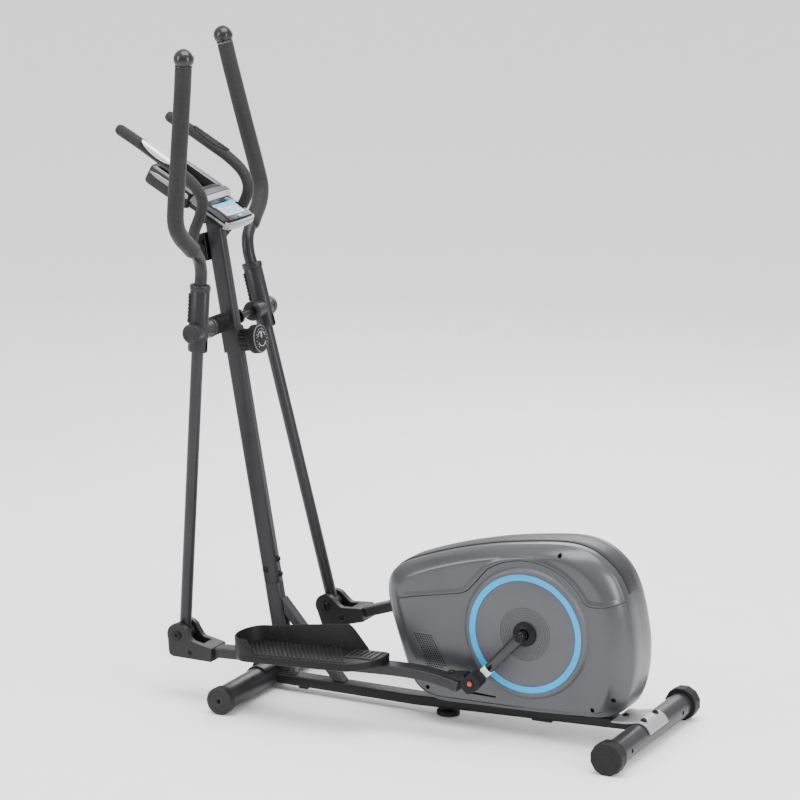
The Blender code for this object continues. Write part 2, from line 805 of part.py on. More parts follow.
def build_arm(machine, side_name, side, angle):
    """One swinging arm, drawn in its own frame: Z up along the arm from the upper pivot, X rearward."""
    hub = empty("arm_joint_" + side_name, PIVOT, machine, (0, -angle, 0))
    y = side * ARM_Y

    sleeve = sweep([(0, y, -0.048), (0, y, 0.112)], circle(0.0243, 16, 0.0190))
    sleeve = add_mesh("arm_sleeve_" + side_name, sleeve, satin_steel(), hub)
    join(sleeve, "cross_tube_" + side_name, rod(0.0225, side * 0.0998, side * 0.1750))
    cut(sleeve, "pivot_bore_" + side_name, rod(0.0102, side * 0.09, side * 0.1780))
    cut(sleeve, "upper_socket_" + side_name, sweep([(0, y, 0.056), (0, y, 0.12)], circle(0.0156)))
    cut(sleeve, "lower_socket_" + side_name, sweep([(0, y, -0.06), (0, y, -0.028)], circle(0.0152)))

    ends = [(0, y, -0.0284), (0, y, -ARM_LENGTH + 0.010)]
    tube = sweep(ends, circle(0.0143), circle(0.0123))
    tube = add_mesh("lower_tube_" + side_name, tube, satin_steel(), hub)
    join(tube, "knuckle_" + side_name, rod(0.0175, side * 0.1375, side * 0.1695, 0, -ARM_LENGTH))
    cut(tube, "knuckle_bore_" + side_name, rod(0.0088, side * 0.13, side * 0.18, 0, -ARM_LENGTH))

    cap = [(0.0150, 0.1757), (0.0235, 0.1757), (0.0235, 0.1880), (0.0200, 0.1910)]
    rings = [[(x, side * s, z) for x, z in circle(r, 20)] for r, s in cap]
    add_mesh("pivot_cap_" + side_name, loft(rings), dark_plastic(), hub)

    base = [(0.1535, 0.0565), (0.1530, 0.105)]
    bend = [(0.1530, 0.142), (0.1690, 0.178), (0.2115, 0.211), (0.2540, 0.242), (0.2790, 0.276)]
    straight = [(0.2830, 0.325), (0.2785, 0.440), (0.2745, 0.570), (0.2740, 0.636)]
    route = smooth_route([(0, side * out, up) for out, up in base + bend + straight], 25)
    tube = sweep(route, circle(0.0147, 10), circle(0.0127, 10), side=Vector((1, 0, 0)))
    add_mesh("handle_tube_" + side_name, tube, satin_steel(), hub)

    grip_route = [p for p in route if p.z > GRIP_START]
    grip = sweep(grip_route, circle(0.0195, 10), circle(0.0155, 10), side=Vector((1, 0, 0)))
    add_mesh("foam_grip_" + side_name, grip, foam(), hub)

    end = route[-1] + Vector((0, 0, 2 * GAP))
    dome = [(0.0200, 0.0), (0.0228, 0.004), (0.0235, 0.014)]
    dome += [(0.0215, 0.026), (0.0160, 0.036), (0.0070, 0.0425)]
    rings = [[(end.x + x, end.y + y2, end.z + h) for x, y2 in circle(r, 16)] for r, h in dome]
    add_mesh("ball_cap_" + side_name, loft(rings), dark_plastic(), hub)


# ---------------------------------------------------------------- pedal arms

PEDAL_SLOPE = math.radians(2.9)
PEDAL_TOE = 0.174  # behind the lower pivot, along the arm
PEDAL_HEEL = 0.543
TOE_ROUND = 0.045


def tube_height(x):
    """Height of the straight part of the pedal arm's middle above the lower pivot, x behind it."""
    return -0.0390 + math.tan(PEDAL_SLOPE) * x


def pedal_outline(side, inset=0.0):
    """The tray's plan: a straight inner edge, a round toe and a cut-off outer rear corner."""
    inner, outer = PEDAL_INNER + inset, PEDAL_OUTER - inset
    middle = (inner + outer) / 2
    half = (outer - inner) / 2
    toe, heel = PEDAL_TOE + inset, PEDAL_HEEL - inset
    rim = []
    steps = 8
    for i in range(steps + 1):
        a = math.pi * i / steps
        rim.append((toe + TOE_ROUND * (1 - math.sin(a)), middle - half * math.cos(a)))
    rim += [(heel - 0.062, outer), (heel - 0.036, outer - 0.012), (heel - 0.012, outer - 0.045)]
    rim += [(heel, outer - 0.075), (heel, inner + 0.012), (heel - 0.012, inner)]
    return [(x, side * y) for x, y in rim]


def on_slope(x, height, y):
    """A point over the pedal arm: x along it, height square to the straight tube's middle."""
    return (x - math.sin(PEDAL_SLOPE) * height, y, tube_height(x) + math.cos(PEDAL_SLOPE) * height)


def build_pedal(hub, side_name, side):
    base = 0.0120 + 0.0005
    floor = base + 0.0190
    rim = pedal_outline(side)
    pan = loft([[on_slope(x, h, y) for x, y in rim] for h in (base, floor)])
    pedal = add_mesh("pedal_" + side_name, pan, black_plastic(), hub)
    hollow = pedal_outline(side, 0.004)
    under = loft([[on_slope(x, h, y) for x, y in hollow] for h in (base - 0.004, floor - 0.007)])
    cut(pedal, "pedal_hollow_" + side_name, under)

    def wall(name, line, heights, thick):
        """An upright wall along a plan line, as tall at each point as heights says."""
        back = [(x + dx, y + dy) for (x, y), (dx, dy) in zip(line, thick)]
        rings = []
        for (x, y), (bx, by), top in zip(line, back, heights):
            root, crest = floor - 0.002, floor + top
            corners = [(x, root, y), (x, crest, y), (bx, crest, by), (bx, root, by)]
            rings.append([on_slope(*corner) for corner in corners])
        join(pedal, name, loft(rings))

    inner = PEDAL_INNER
    plan = [(0.480, inner), (0.435, inner), (0.300, inner), (PEDAL_TOE + TOE_ROUND, inner)]
    plan += pedal_toe()
    plan += [(0.228, PEDAL_OUTER), (0.252, PEDAL_OUTER)]
    tall = [0.002, 0.058, 0.046, 0.038] + 8 * [0.0365] + [0.035, 0.005]
    line = [(x, side * y) for x, y in plan]
    middle = Vector((0.330, side * (PEDAL_INNER + PEDAL_OUTER) / 2))
    thick = []
    for i, (x, y) in enumerate(line):
        before, after = Vector(line[max(i - 1, 0)]), Vector(line[min(i + 1, len(line) - 1)])
        run = (after - before).normalized()
        across = Vector((-run.y, run.x))
        if across.dot(middle - Vector((x, y))) < 0:
            across = -across
        thick.append((across.x * 0.0045, across.y * 0.0045))
    wall("pedal_wall_" + side_name, line, tall, thick)


def pedal_toe():
    """Plan points round the toe, from the inner edge to the outer."""
    middle = (PEDAL_INNER + PEDAL_OUTER) / 2
    half = (PEDAL_OUTER - PEDAL_INNER) / 2
    points = []
    for i in range(1, 9):
        a = math.pi * i / 9
        points.append((PEDAL_TOE + TOE_ROUND * (1 - math.sin(a)), middle - half * math.cos(a)))
    return points


def build_pedal_arm(machine, side_name, side, pivot, lift):
    """One pedal arm, drawn from the lower pivot with the left side's rest position as level."""
    hub = empty("pedal_joint_" + side_name, pivot, machine, (0, -lift, 0))
    near, far = side * 0.1190, side * 0.1880

    ear = arc(-0.0030, 0.0005, 0.0275, 200, 20, 10)
    body = [(0.0310, -0.0020), (0.0400, -0.0110), (0.0880, -0.0205), (0.0905, -0.0540)]
    body += [(-0.0150, -0.0535), (-0.0262, -0.0450)]
    bracket = add_mesh("pedal_bracket_" + side_name, prism(ear + body, near, far), dark_plastic(), hub)
    swing = [(-0.0275, 0.0320), (-0.0200, 0.0060), (-0.0200, -0.0200)]
    swing += [(0.0120, -0.0300), (0.0560, -0.0260), (0.0560, 0.0320)]
    cut(bracket, "slot_" + side_name, prism(swing, side * 0.1365, side * 0.1705))
    join(bracket, "lower_pin_" + side_name, rod(0.0080, side * 0.1300, side * 0.1800, 0, 0))

    points = [(0.0910, tube_height(0.0910)), (0.330, tube_height(0.330)), (0.545, tube_height(0.545))]
    points += [(0.585, -0.0104), (0.618, -0.0106), (0.652, -0.0128), (0.690, -0.0180), (0.7285, -0.0258)]
    route = [Vector((x, side * ARM_Y, z)) for x, z in points]
    outer = rounded_rectangle(0.0240, 0.0440, 0.003, 1)
    inner = rounded_rectangle(0.0200, 0.0400, 0.002, 1)
    add_mesh("pedal_arm_" + side_name, sweep(route, outer, inner), satin_steel(), hub)

    build_pedal(hub, side_name, side)
    build_joint_block(hub, side_name, side)


def build_joint_block(hub, side_name, side):
    """The bearing block at the rear end of a pedal arm, with the stub of the crank pin."""
    pin = crank_pin(LEFT_CRANK_ANGLE) - lower_pivot(LEFT_ARM_ANGLE)
    along = Vector((math.cos(LEFT_CRANK_ANGLE), math.sin(LEFT_CRANK_ANGLE)))
    across = Vector((-along.y, along.x))
    middle = Vector((pin.x, pin.z)) - along * 0.004
    corners = [(1, 0.62), (0.62, 1), (-0.62, 1), (-1, 0.62), (-1, -0.62), (-0.62, -1), (0.62, -1), (1, -0.62)]
    outline = [middle + along * a * 0.0235 + across * b * 0.0185 for a, b in corners]
    inner = side * 0.1345
    block = prism([tuple(p) for p in outline], inner, side * 0.1720)
    block = add_mesh("joint_block_" + side_name, block, black_plastic(), hub)
    stub = rod(0.0090, side * (CRANK_OUTER + 0.0005), side * 0.1400, pin.x, pin.z, 12)
    join(block, "pin_stub_" + side_name, stub)
    plate = [(0.690, -0.0048), (0.690, -0.0008), (0.742, 0.0060), (0.752, -0.0080), (0.7295, -0.0120)]
    join(block, "joint_plate_" + side_name, prism(plate, side * 0.1360, side * 0.1700))


# ---------------------------------------------------------------- console and handlebar


def on_console(s, n, y=0.0):
    """A point on the console: s forward up its slope from the rear edge, n square to it."""
    ahead = Vector((-math.cos(CONSOLE_TILT), 0, math.sin(CONSOLE_TILT)))
    normal = Vector((math.sin(CONSOLE_TILT), 0, math.cos(CONSOLE_TILT)))
    return CONSOLE_REAR + ahead * s + normal * n + Vector((0, y, 0))


def console_prism(outline, half):
    return loft([[on_console(s, n, y) for s, n in outline] for y in (-half, half)])


def console_box(s0, s1, y0, y1, n0, n1):
    corners = [(s0, y0), (s1, y0), (s1, y1), (s0, y1)]
    return loft([[on_console(s, n, y) for s, y in corners] for n in (n0, n1)])


BUTTON = (0.0135, 0.0205, -0.010, 0.010)  # the key's place on the console: s from, s to, y from, y to


def build_console(machine):
    shape = [
        (0.0020, -0.0030),
        (0.1170, -0.0055),
        (0.1170, 0.0280),
        (0.1080, 0.0350),
        (0.0920, 0.0340),
        (0.0840, 0.0255),
        (0.0060, 0.0230),
        (0.0, 0.0180),
    ]
    body = add_mesh("console_body", console_prism(shape, CONSOLE_HALF), silver_plastic(), machine)
    bevel(body, 0.003, 1, 60)
    visor = [(0.0870, 0.0200), (0.0870, 0.0340), (0.0930, 0.0400)]
    visor += [(0.1080, 0.0410), (0.1165, 0.0340), (0.1165, 0.0200)]
    join(body, "console_visor", console_prism(visor, VISOR_HALF))
    s0, s1, y0, y1 = BUTTON
    cut(body, "button_pocket", console_box(s0 - 0.0005, s1 + 0.0005, y0 - 0.0005, y1 + 0.0005, 0.0190, 0.030))
    place = on_console((s0 + s1) / 2, 0.0212)
    hub = empty("button_joint", place, machine)
    key = console_box(s0, s1, y0, y1, 0.0212, 0.0252)
    bmesh.ops.translate(key, verts=key.verts, vec=-place)
    add_mesh("mode_button", key, cyan_plastic(), hub, smooth=False)

    tray = console_box(0.1180, 0.2490, -TRAY_HALF, TRAY_HALF, -0.0150, 0.0290)
    tray = add_mesh("tablet_tray", tray, dark_plastic(), machine, smooth=False)
    bevel(tray, 0.004, 2)
    wall = 0.0150
    recess = console_box(0.110, 0.2420, wall - TRAY_HALF, TRAY_HALF - wall, 0.0030, 0.040)
    cut(tray, "tray_recess", recess)

    low = [on_mast(0.024, MAST_TOP + GAP), on_mast(-0.023, MAST_TOP + GAP)]
    high = [on_console(0.0480, -0.0060), on_console(0.1130, -0.0062)]
    wedge = [(p.x, p.z) for p in low + high]
    bracket = add_mesh("console_bracket", prism(wedge, -0.024, 0.024), black_steel(), machine)
    bevel(bracket, 0.001)


def bar_route():
    """The fixed handlebar from its left tip round under the console to its right tip."""
    half = [
        (-0.6990, 0.1140, 1.3500),
        (-0.6400, 0.1160, 1.3200),
        (-0.5830, 0.1175, 1.2880),
        (-0.5320, 0.1170, 1.2590),
        (-0.4940, 0.1140, 1.2290),
        (-0.4765, 0.1090, 1.1950),
        (-0.4855, 0.1050, 1.1580),
        (-0.5085, 0.0920, 1.1180),
        (-0.5280, 0.0690, 1.0820),
        (BAR_CLAMP.x, 0.0400, BAR_CLAMP.z + 0.002),
    ]
    left = [(x, -y, z) for x, y, z in half]
    middle = [(BAR_CLAMP.x, -0.026, BAR_CLAMP.z), (BAR_CLAMP.x, 0.026, BAR_CLAMP.z)]
    return left + middle + half[::-1]


def build_handlebar(machine):
    given = [Vector(p) for p in bar_route()]
    count = 36
    route = smooth_route(given, count)
    rings = []
    previous = None
    for i, p in enumerate(route):
        ahead = (route[min(i + 1, count - 1)] - route[max(i - 1, 0)]).normalized()
        across = previous if previous else Vector((0, 0, 1))
        across = (across - ahead * across.dot(ahead)).normalized()
        previous = across
        other = ahead.cross(across)
        rings.append([p + across * a + other * b for a, b in circle(BAR_RADIUS, 8)])
    add_mesh("fixed_handlebar", loft(rings), foam(), machine)

    corners = [(0.0214, 0.146), (0.0640, 0.158), (0.0640, 0.200), (0.0214, 0.214)]
    corners = [on_mast(ahead, up) for ahead, up in corners]
    clamp = prism([(p.x, p.z) for p in corners], -0.0225, 0.0225)
    clamp = add_mesh("handlebar_clamp", clamp, black_plastic(), machine)
    bevel(clamp, 0.003, 1)
    cut(clamp, "clamp_bore", rod(BAR_RADIUS + 0.0006, -0.03, 0.03, BAR_CLAMP.x, BAR_CLAMP.z, 16))

    for name, side in (("pulse_sensor_left", -1), ("pulse_sensor_right", 1)):
        line = [p for p in smooth_route(given, 161) if p.y * side > 0 and -0.627 < p.x < -0.546]
        line.sort(key=lambda p: -p.x)
        low, high = BAR_RADIUS + 0.0006, BAR_RADIUS + 0.0030
        spread = [math.radians(SENSOR_TURN * side - 60 + 120 * i / 6) for i in range(7)]
        section = [(low * math.cos(a), low * math.sin(a)) for a in spread]
        section += [(high * math.cos(a), high * math.sin(a)) for a in spread[::-1]]
        plate = sweep(line[::4], section)
        add_mesh(name, plate, bright_steel(), machine)


# ---------------------------------------------------------------- assembly


def build():
    clear_scene()
    machine = empty("machine", (MACHINE_X, 0, 0))
    build_rail(machine)
    build_mast(machine)
    build_pivot_shaft(machine)
    build_front_stabilizer(machine)
    build_rear_stabilizer(machine)
    build_middle_foot(machine)
    build_shells(machine)
    build_spine(machine)
    build_side_discs(machine)
    build_bearing_frame(machine)
    build_crank_set(machine)
    build_flywheel(machine)
    build_belt(machine)
    build_idler(machine)
    build_brake(machine)
    build_cable(machine)
    build_knob(machine)
    build_console(machine)
    build_handlebar(machine)

    left_pin = crank_pin(LEFT_CRANK_ANGLE)
    left_pivot = lower_pivot(LEFT_ARM_ANGLE)
    pedal_arm_length = (left_pin - left_pivot).length
    right_pin = crank_pin(LEFT_CRANK_ANGLE + math.pi)
    right_arm_angle = solve_arm_angle(right_pin, pedal_arm_length)
    right_pivot = lower_pivot(right_arm_angle)
    lift = rise(right_pivot, right_pin) - rise(left_pivot, left_pin)
    build_arm(machine, "left", -1, LEFT_ARM_ANGLE)
    build_arm(machine, "right", 1, right_arm_angle)
    build_pedal_arm(machine, "left", -1, left_pivot, 0.0)
    build_pedal_arm(machine, "right", 1, right_pivot, lift)


build()
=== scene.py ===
"""The looks of the elliptical trainer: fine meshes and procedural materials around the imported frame.

Metres, +Z up; +X is the rear (the drive housing) and -Y the user's left.  Pieces are drawn in one of a few
local frames (the machine's, an arm's, a pedal arm's, the crank's, the knob's) and carried into place by its
matrix.
"""

import json
import math

import bmesh
import bpy
from mathutils import Matrix, Vector
from mathutils.bvhtree import BVHTree


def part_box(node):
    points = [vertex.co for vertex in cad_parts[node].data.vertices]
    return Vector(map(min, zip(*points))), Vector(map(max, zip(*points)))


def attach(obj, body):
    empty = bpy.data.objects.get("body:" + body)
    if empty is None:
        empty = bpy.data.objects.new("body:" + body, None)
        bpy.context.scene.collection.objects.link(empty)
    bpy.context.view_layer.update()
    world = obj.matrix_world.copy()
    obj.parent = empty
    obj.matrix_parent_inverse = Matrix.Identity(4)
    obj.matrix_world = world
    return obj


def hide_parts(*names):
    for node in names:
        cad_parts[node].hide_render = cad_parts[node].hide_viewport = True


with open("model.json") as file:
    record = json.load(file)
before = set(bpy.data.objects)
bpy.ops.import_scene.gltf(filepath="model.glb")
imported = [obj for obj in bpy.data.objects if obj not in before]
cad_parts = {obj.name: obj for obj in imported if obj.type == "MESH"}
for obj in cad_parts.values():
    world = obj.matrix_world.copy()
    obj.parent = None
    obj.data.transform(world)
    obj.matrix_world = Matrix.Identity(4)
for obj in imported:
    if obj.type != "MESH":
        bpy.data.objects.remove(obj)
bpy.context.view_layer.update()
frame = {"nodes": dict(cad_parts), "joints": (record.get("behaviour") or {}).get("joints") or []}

# ---------------------------------------------------------------- places, read from the frame

JOINTS = {joint["name"]: joint for joint in frame["joints"]}


def joint_place(name):
    return Vector(JOINTS[name]["pos_m"])


AXLE_DRAWN = Vector((0.350, 0.0, 0.256))  # the crank axle in the machine's own drawing
AXLE = joint_place("crank_spin")
SHIFT = Vector((AXLE.x - AXLE_DRAWN.x, 0.0, 0.0))
PIVOT = joint_place("left_arm_swing")
PIVOT.y = 0.0
SIDES = (("left", -1), ("right", 1))
LOWER_PIVOT = {}
for _side, _ in SIDES:
    _p = joint_place(_side + "_pedal_level")
    LOWER_PIVOT[_side] = Vector((_p.x, 0.0, _p.z))
ARM_LENGTH = (LOWER_PIVOT["left"] - PIVOT).length
CRANK_LENGTH = 0.157
LEFT_CRANK_ANGLE = math.radians(227.6)
ARM_Y = 0.1535
MAST_LEAN = math.radians(9.93)
KNOB_UP = -0.0520
SHROUD_UP = -0.0465
CONSOLE_TILT = math.radians(28.5)
PEDAL_SLOPE = math.radians(2.9)


def crank_pin(turn):
    angle = LEFT_CRANK_ANGLE + turn
    return AXLE + CRANK_LENGTH * Vector((math.cos(angle), 0, math.sin(angle)))


def arm_angle(side_name):
    reach = LOWER_PIVOT[side_name] - PIVOT
    return math.atan2(reach.x, -reach.z)


def pedal_rise(side_name):
    pin = crank_pin(0.0 if side_name == "left" else math.pi)
    run = pin - LOWER_PIVOT[side_name]
    return math.atan2(run.z, run.x)


MACHINE = Matrix.Translation(SHIFT)
PLACE = {"frame": MACHINE, "crank_set": Matrix.Translation(AXLE)}
for _side, _ in SIDES:
    PLACE[_side + "_arm"] = Matrix.Translation(PIVOT) @ Matrix.Rotation(-arm_angle(_side), 4, "Y")
    _lift = pedal_rise(_side) - pedal_rise("left")
    PLACE[_side + "_pedal"] = Matrix.Translation(LOWER_PIVOT[_side]) @ Matrix.Rotation(-_lift, 4, "Y")


def on_mast(forward, up, y=0.0):
    """A point given by its distance ahead of the mast's middle and up along it from the pivot."""
    along = Vector((-math.sin(MAST_LEAN), 0, math.cos(MAST_LEAN)))
    ahead = Vector((-math.cos(MAST_LEAN), 0, -math.sin(MAST_LEAN)))
    return PIVOT - SHIFT + along * up + ahead * forward + Vector((0, y, 0))


PLACE["resistance_knob"] = Matrix.Translation(on_mast(0, KNOB_UP) + SHIFT) @ Matrix.Rotation(-MAST_LEAN,
                                                                                             4, "Y")

# ---------------------------------------------------------------- materials


def node_between(tree, source, low, high, first=0.35, last=0.65):
    """Maps a texture's middle range onto low..high."""
    node = tree.nodes.new("ShaderNodeMapRange")
    node.inputs["From Min"].default_value = first
    node.inputs["From Max"].default_value = last
    node.inputs["To Min"].default_value = low
    node.inputs["To Max"].default_value = high
    tree.links.new(source, node.inputs["Value"])
    return node.outputs["Result"]


def noise(tree, place, scale, detail=2.0):
    node = tree.nodes.new("ShaderNodeTexNoise")
    node.inputs["Scale"].default_value = scale
    node.inputs["Detail"].default_value = detail
    tree.links.new(place, node.inputs["Vector"])
    return node.outputs["Fac"]


def surface(
    name,
    colour,
    roughness,
    metallic=0.0,
    spread=0.10,
    rough_spread=0.06,
    grain=900.0,
    depth=0.00003,
    wear=0.0,
    coat=0.0,
    coat_roughness=0.1,
    sheen=0.0,
    stretch=(1, 1, 1),
    flakes=0.0,
    glow=0.0,
    shine=0.5,
):
    """A material whose colour, roughness and surface vary with noise in the object's own space.

    spread is the colour's variation, grain the bump's texture scale and depth its height.  wear is how much
    lighter the edges are, flakes the strength of a metallic paint's glitter, and shine the specular level.
    """
    mat = bpy.data.materials.new(name)
    mat.use_nodes = True
    tree = mat.node_tree
    shader = tree.nodes["Principled BSDF"]
    shader.inputs["Metallic"].default_value = metallic
    shader.inputs["Coat Weight"].default_value = coat
    shader.inputs["Coat Roughness"].default_value = coat_roughness
    shader.inputs["Sheen Weight"].default_value = sheen
    shader.inputs["Specular IOR Level"].default_value = shine
    if glow:
        shader.inputs["Emission Color"].default_value = (*colour, 1.0)
        shader.inputs["Emission Strength"].default_value = glow
    coordinates = tree.nodes.new("ShaderNodeTexCoord")
    mapping = tree.nodes.new("ShaderNodeMapping")
    mapping.inputs["Scale"].default_value = stretch
    tree.links.new(coordinates.outputs["Object"], mapping.inputs["Vector"])
    place = mapping.outputs["Vector"]

    broad = noise(tree, place, 11.0, 4.0)
    fine = noise(tree, place, 160.0, 3.0)
    mix = tree.nodes.new("ShaderNodeMix")
    mix.data_type = "RGBA"
    mix.inputs["A"].default_value = (*[c * (1 - spread) for c in colour], 1.0)
    mix.inputs["B"].default_value = (*[min(1.0, c * (1 + spread)) for c in colour], 1.0)
    tree.links.new(node_between(tree, broad, 0.0, 1.0), mix.inputs["Factor"])
    tinted = mix.outputs["Result"]

    if flakes:
        cells = tree.nodes.new("ShaderNodeTexVoronoi")
        cells.inputs["Scale"].default_value = 1400.0
        tree.links.new(place, cells.inputs["Vector"])
        glitter = tree.nodes.new("ShaderNodeMix")
        glitter.data_type = "RGBA"
        glitter.blend_type = "MULTIPLY"
        glitter.inputs["Factor"].default_value = flakes
        tree.links.new(tinted, glitter.inputs["A"])
        tree.links.new(cells.outputs["Color"], glitter.inputs["B"])
        tinted = glitter.outputs["Result"]

    if wear:
        edges = tree.nodes.new("ShaderNodeNewGeometry").outputs["Pointiness"]
        worn = tree.nodes.new("ShaderNodeMath")
        worn.operation = "MULTIPLY"
        tree.links.new(node_between(tree, edges, 0.0, wear, 0.52, 0.60), worn.inputs[0])
        tree.links.new(node_between(tree, fine, 0.3, 1.0), worn.inputs[1])
        rub = tree.nodes.new("ShaderNodeMix")
        rub.data_type = "RGBA"
        rub.inputs["B"].default_value = (*[min(1.0, c * 2.2 + 0.03) for c in colour], 1.0)
        tree.links.new(worn.outputs["Value"], rub.inputs["Factor"])
        tree.links.new(tinted, rub.inputs["A"])
        tinted = rub.outputs["Result"]
    tree.links.new(tinted, shader.inputs["Base Color"])

    low, high = max(0.03, roughness - rough_spread), min(1.0, roughness + rough_spread)
    tree.links.new(node_between(tree, fine, low, high), shader.inputs["Roughness"])

    bump = tree.nodes.new("ShaderNodeBump")
    bump.inputs["Distance"].default_value = depth
    bump.inputs["Strength"].default_value = 0.8
    tree.links.new(noise(tree, place, grain, 2.0), bump.inputs["Height"])
    tree.links.new(bump.outputs["Normal"], shader.inputs["Normal"])
    return mat


def make_materials():
    made = {}

    def add(name, slot, *args, **kwargs):
        made[name] = (surface(name, *args, **kwargs), slot)

    add("satin_charcoal", "satin_steel", (0.0175, 0.0170, 0.0190), 0.34, 0.25, wear=0.3, shine=0.30)
    add("black_paint", "black_steel", (0.0055, 0.0055, 0.0060), 0.38, 0.1, wear=0.3, shine=0.25)
    add("crank_gloss", "black_steel", (0.004, 0.004, 0.0045), 0.17, 0.1, shine=0.6, spread=0.2,
        rough_spread=0.04)
    add("zinc", "bright_steel", (0.50, 0.51, 0.53), 0.30, 1.0, spread=0.06, grain=500.0, depth=0.00002)
    add("black_oxide", "black_steel", (0.008, 0.008, 0.009), 0.36, 0.5, wear=0.5, shine=0.3)
    add("saddle_grey", "bright_steel", (0.32, 0.32, 0.33), 0.34, 0.35, spread=0.04, shine=0.45)
    add("shell_grey", "grey_shell", (0.068, 0.069, 0.074), 0.31, 0.55, spread=0.04, rough_spread=0.03,
        flakes=0.22, coat=0.22, coat_roughness=0.2, depth=0.00001, shine=0.40)
    add("shell_dark", "grey_shell", (0.020, 0.020, 0.022), 0.40, 0.3, spread=0.05, coat=0.1,
        coat_roughness=0.3, depth=0.00001, shine=0.3)
    add("disc_grey", "grey_shell", (0.082, 0.084, 0.090), 0.45, 0.35, spread=0.03, flakes=0.12, depth=0.00002,
        shine=0.35)
    add("hub_dark", "dark_plastic", (0.0042, 0.0042, 0.0048), 0.50, depth=0.00004, shine=0.18)
    add("accent_blue", "cyan_plastic", (0.004, 0.290, 0.600), 0.42, spread=0.04, shine=0.15)
    # painted shade: a near-black, dull finish for sheets set in gaps, slots and behind holes, where only shade
    # would show
    add("painted_shade", "black_plastic", (0.0020, 0.0020, 0.0022), 0.85, shine=0.05)
    add("moulded_dark", "dark_plastic", (0.0120, 0.0117, 0.0128), 0.44, spread=0.12, depth=0.00006,
        grain=700.0,
        wear=0.25, shine=0.25)
    add("moulded_black", "black_plastic", (0.0034, 0.0034, 0.0038), 0.45, spread=0.15, depth=0.00008,
        grain=650.0,
        wear=0.3, shine=0.18)
    add("gloss_black", "black_plastic", (0.0030, 0.0030, 0.0035), 0.16, spread=0.2, rough_spread=0.03,
        shine=0.18)
    add("foam_black", "foam", (0.0145, 0.0138, 0.0145), 0.70, spread=0.14, depth=0.00025, grain=420.0,
        sheen=0.07,
        rough_spread=0.1, shine=0.25)
    add("gloss_cap", "dark_plastic", (0.008, 0.008, 0.009), 0.22, rough_spread=0.04, spread=0.08, shine=0.45)
    add("rubber_black", "rubber", (0.0085, 0.0085, 0.0085), 0.60, spread=0.15, depth=0.0001, grain=500.0,
        wear=0.25,
        shine=0.22)
    add("silver", "silver_plastic", (0.25, 0.255, 0.27), 0.30, 0.45, spread=0.04, coat=0.15, flakes=0.1)
    add("pale_silver", "silver_plastic", (0.52, 0.53, 0.57), 0.32, 0.15, spread=0.03, coat=0.15)
    add("band_grey", "silver_plastic", (0.105, 0.107, 0.115), 0.40, 0.3, spread=0.05, flakes=0.2)
    add("tray_olive", "dark_plastic", (0.012, 0.014, 0.009), 0.50, depth=0.00008, grain=600.0, shine=0.3)
    add("screen", "silver_plastic", (0.42, 0.44, 0.53), 0.22, spread=0.03, shine=0.3, glow=0.10)
    add("screen_teal", "cyan_plastic", (0.006, 0.022, 0.032), 0.18, shine=0.3)
    add("screen_blue", "cyan_plastic", (0.05, 0.42, 0.60), 0.25, shine=0.3, glow=0.10)
    add("screen_mark", "cyan_plastic", (0.26, 0.22, 0.36), 0.3, shine=0.3)
    add("key_blue", "cyan_plastic", (0.05, 0.35, 0.52), 0.35, shine=0.3)
    add("almond", "bright_steel", (0.50, 0.50, 0.49), 0.30, 0.7, spread=0.04, stretch=(1, 6, 1),
        depth=0.00003)
    add("label_white", "silver_plastic", (0.72, 0.72, 0.70), 0.42, spread=0.04)
    add("dot_red", "black_plastic", (0.42, 0.018, 0.010), 0.20, shine=0.5)
    add("cast", "cast_iron", (0.09, 0.09, 0.095), 0.55, 0.8, spread=0.2, depth=0.0002, grain=300.0)
    return made


MATERIALS = make_materials()
KEPT_NODES = {
    "bearing_frame": "black_paint",
    "crank_axle": "zinc",
    "flywheel_axle": "zinc",
    "drive_pulley": "moulded_black",
    "flywheel": "cast",
    "drive_belt": "rubber_black",
    "idler": "moulded_black",
    "magnet_brake": "black_paint",
    "tension_cable": "rubber_black",
    "mast_gusset": "satin_charcoal",
    "console_bracket": "black_paint",
}


def paint_kept_nodes():
    for node, name in KEPT_NODES.items():
        obj = frame["nodes"][node]
        obj.data.materials.clear()
        obj.data.materials.append(MATERIALS[name][0])


# ---------------------------------------------------------------- mesh helpers


def piece(name, body, finish, bm, replaces=(), place=None, sharp=38, bevel=0.0, segments=3, bevel_angle=40):
    """Turns a bmesh drawn in its body's local frame into a piece that rides on the body."""
    bmesh.ops.recalc_face_normals(bm, faces=bm.faces)
    bm.transform(PLACE.get(body, MACHINE) if place is None else place)
    mesh = bpy.data.meshes.new(name)
    bm.to_mesh(mesh)
    bm.free()
    mesh.shade_smooth()
    mesh.set_sharp_from_angle(angle=math.radians(sharp))
    mat, slot = MATERIALS[finish]
    mesh.materials.append(mat)
    obj = bpy.data.objects.new(name, mesh)
    bpy.context.collection.objects.link(obj)
    if bevel:
        mod = obj.modifiers.new("edge", "BEVEL")
        mod.width = bevel
        mod.segments = segments
        mod.limit_method = "ANGLE"
        mod.angle_limit = math.radians(bevel_angle)
        mod.harden_normals = True
    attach(obj, body)
    if replaces:
        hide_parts(*replaces)
    return obj


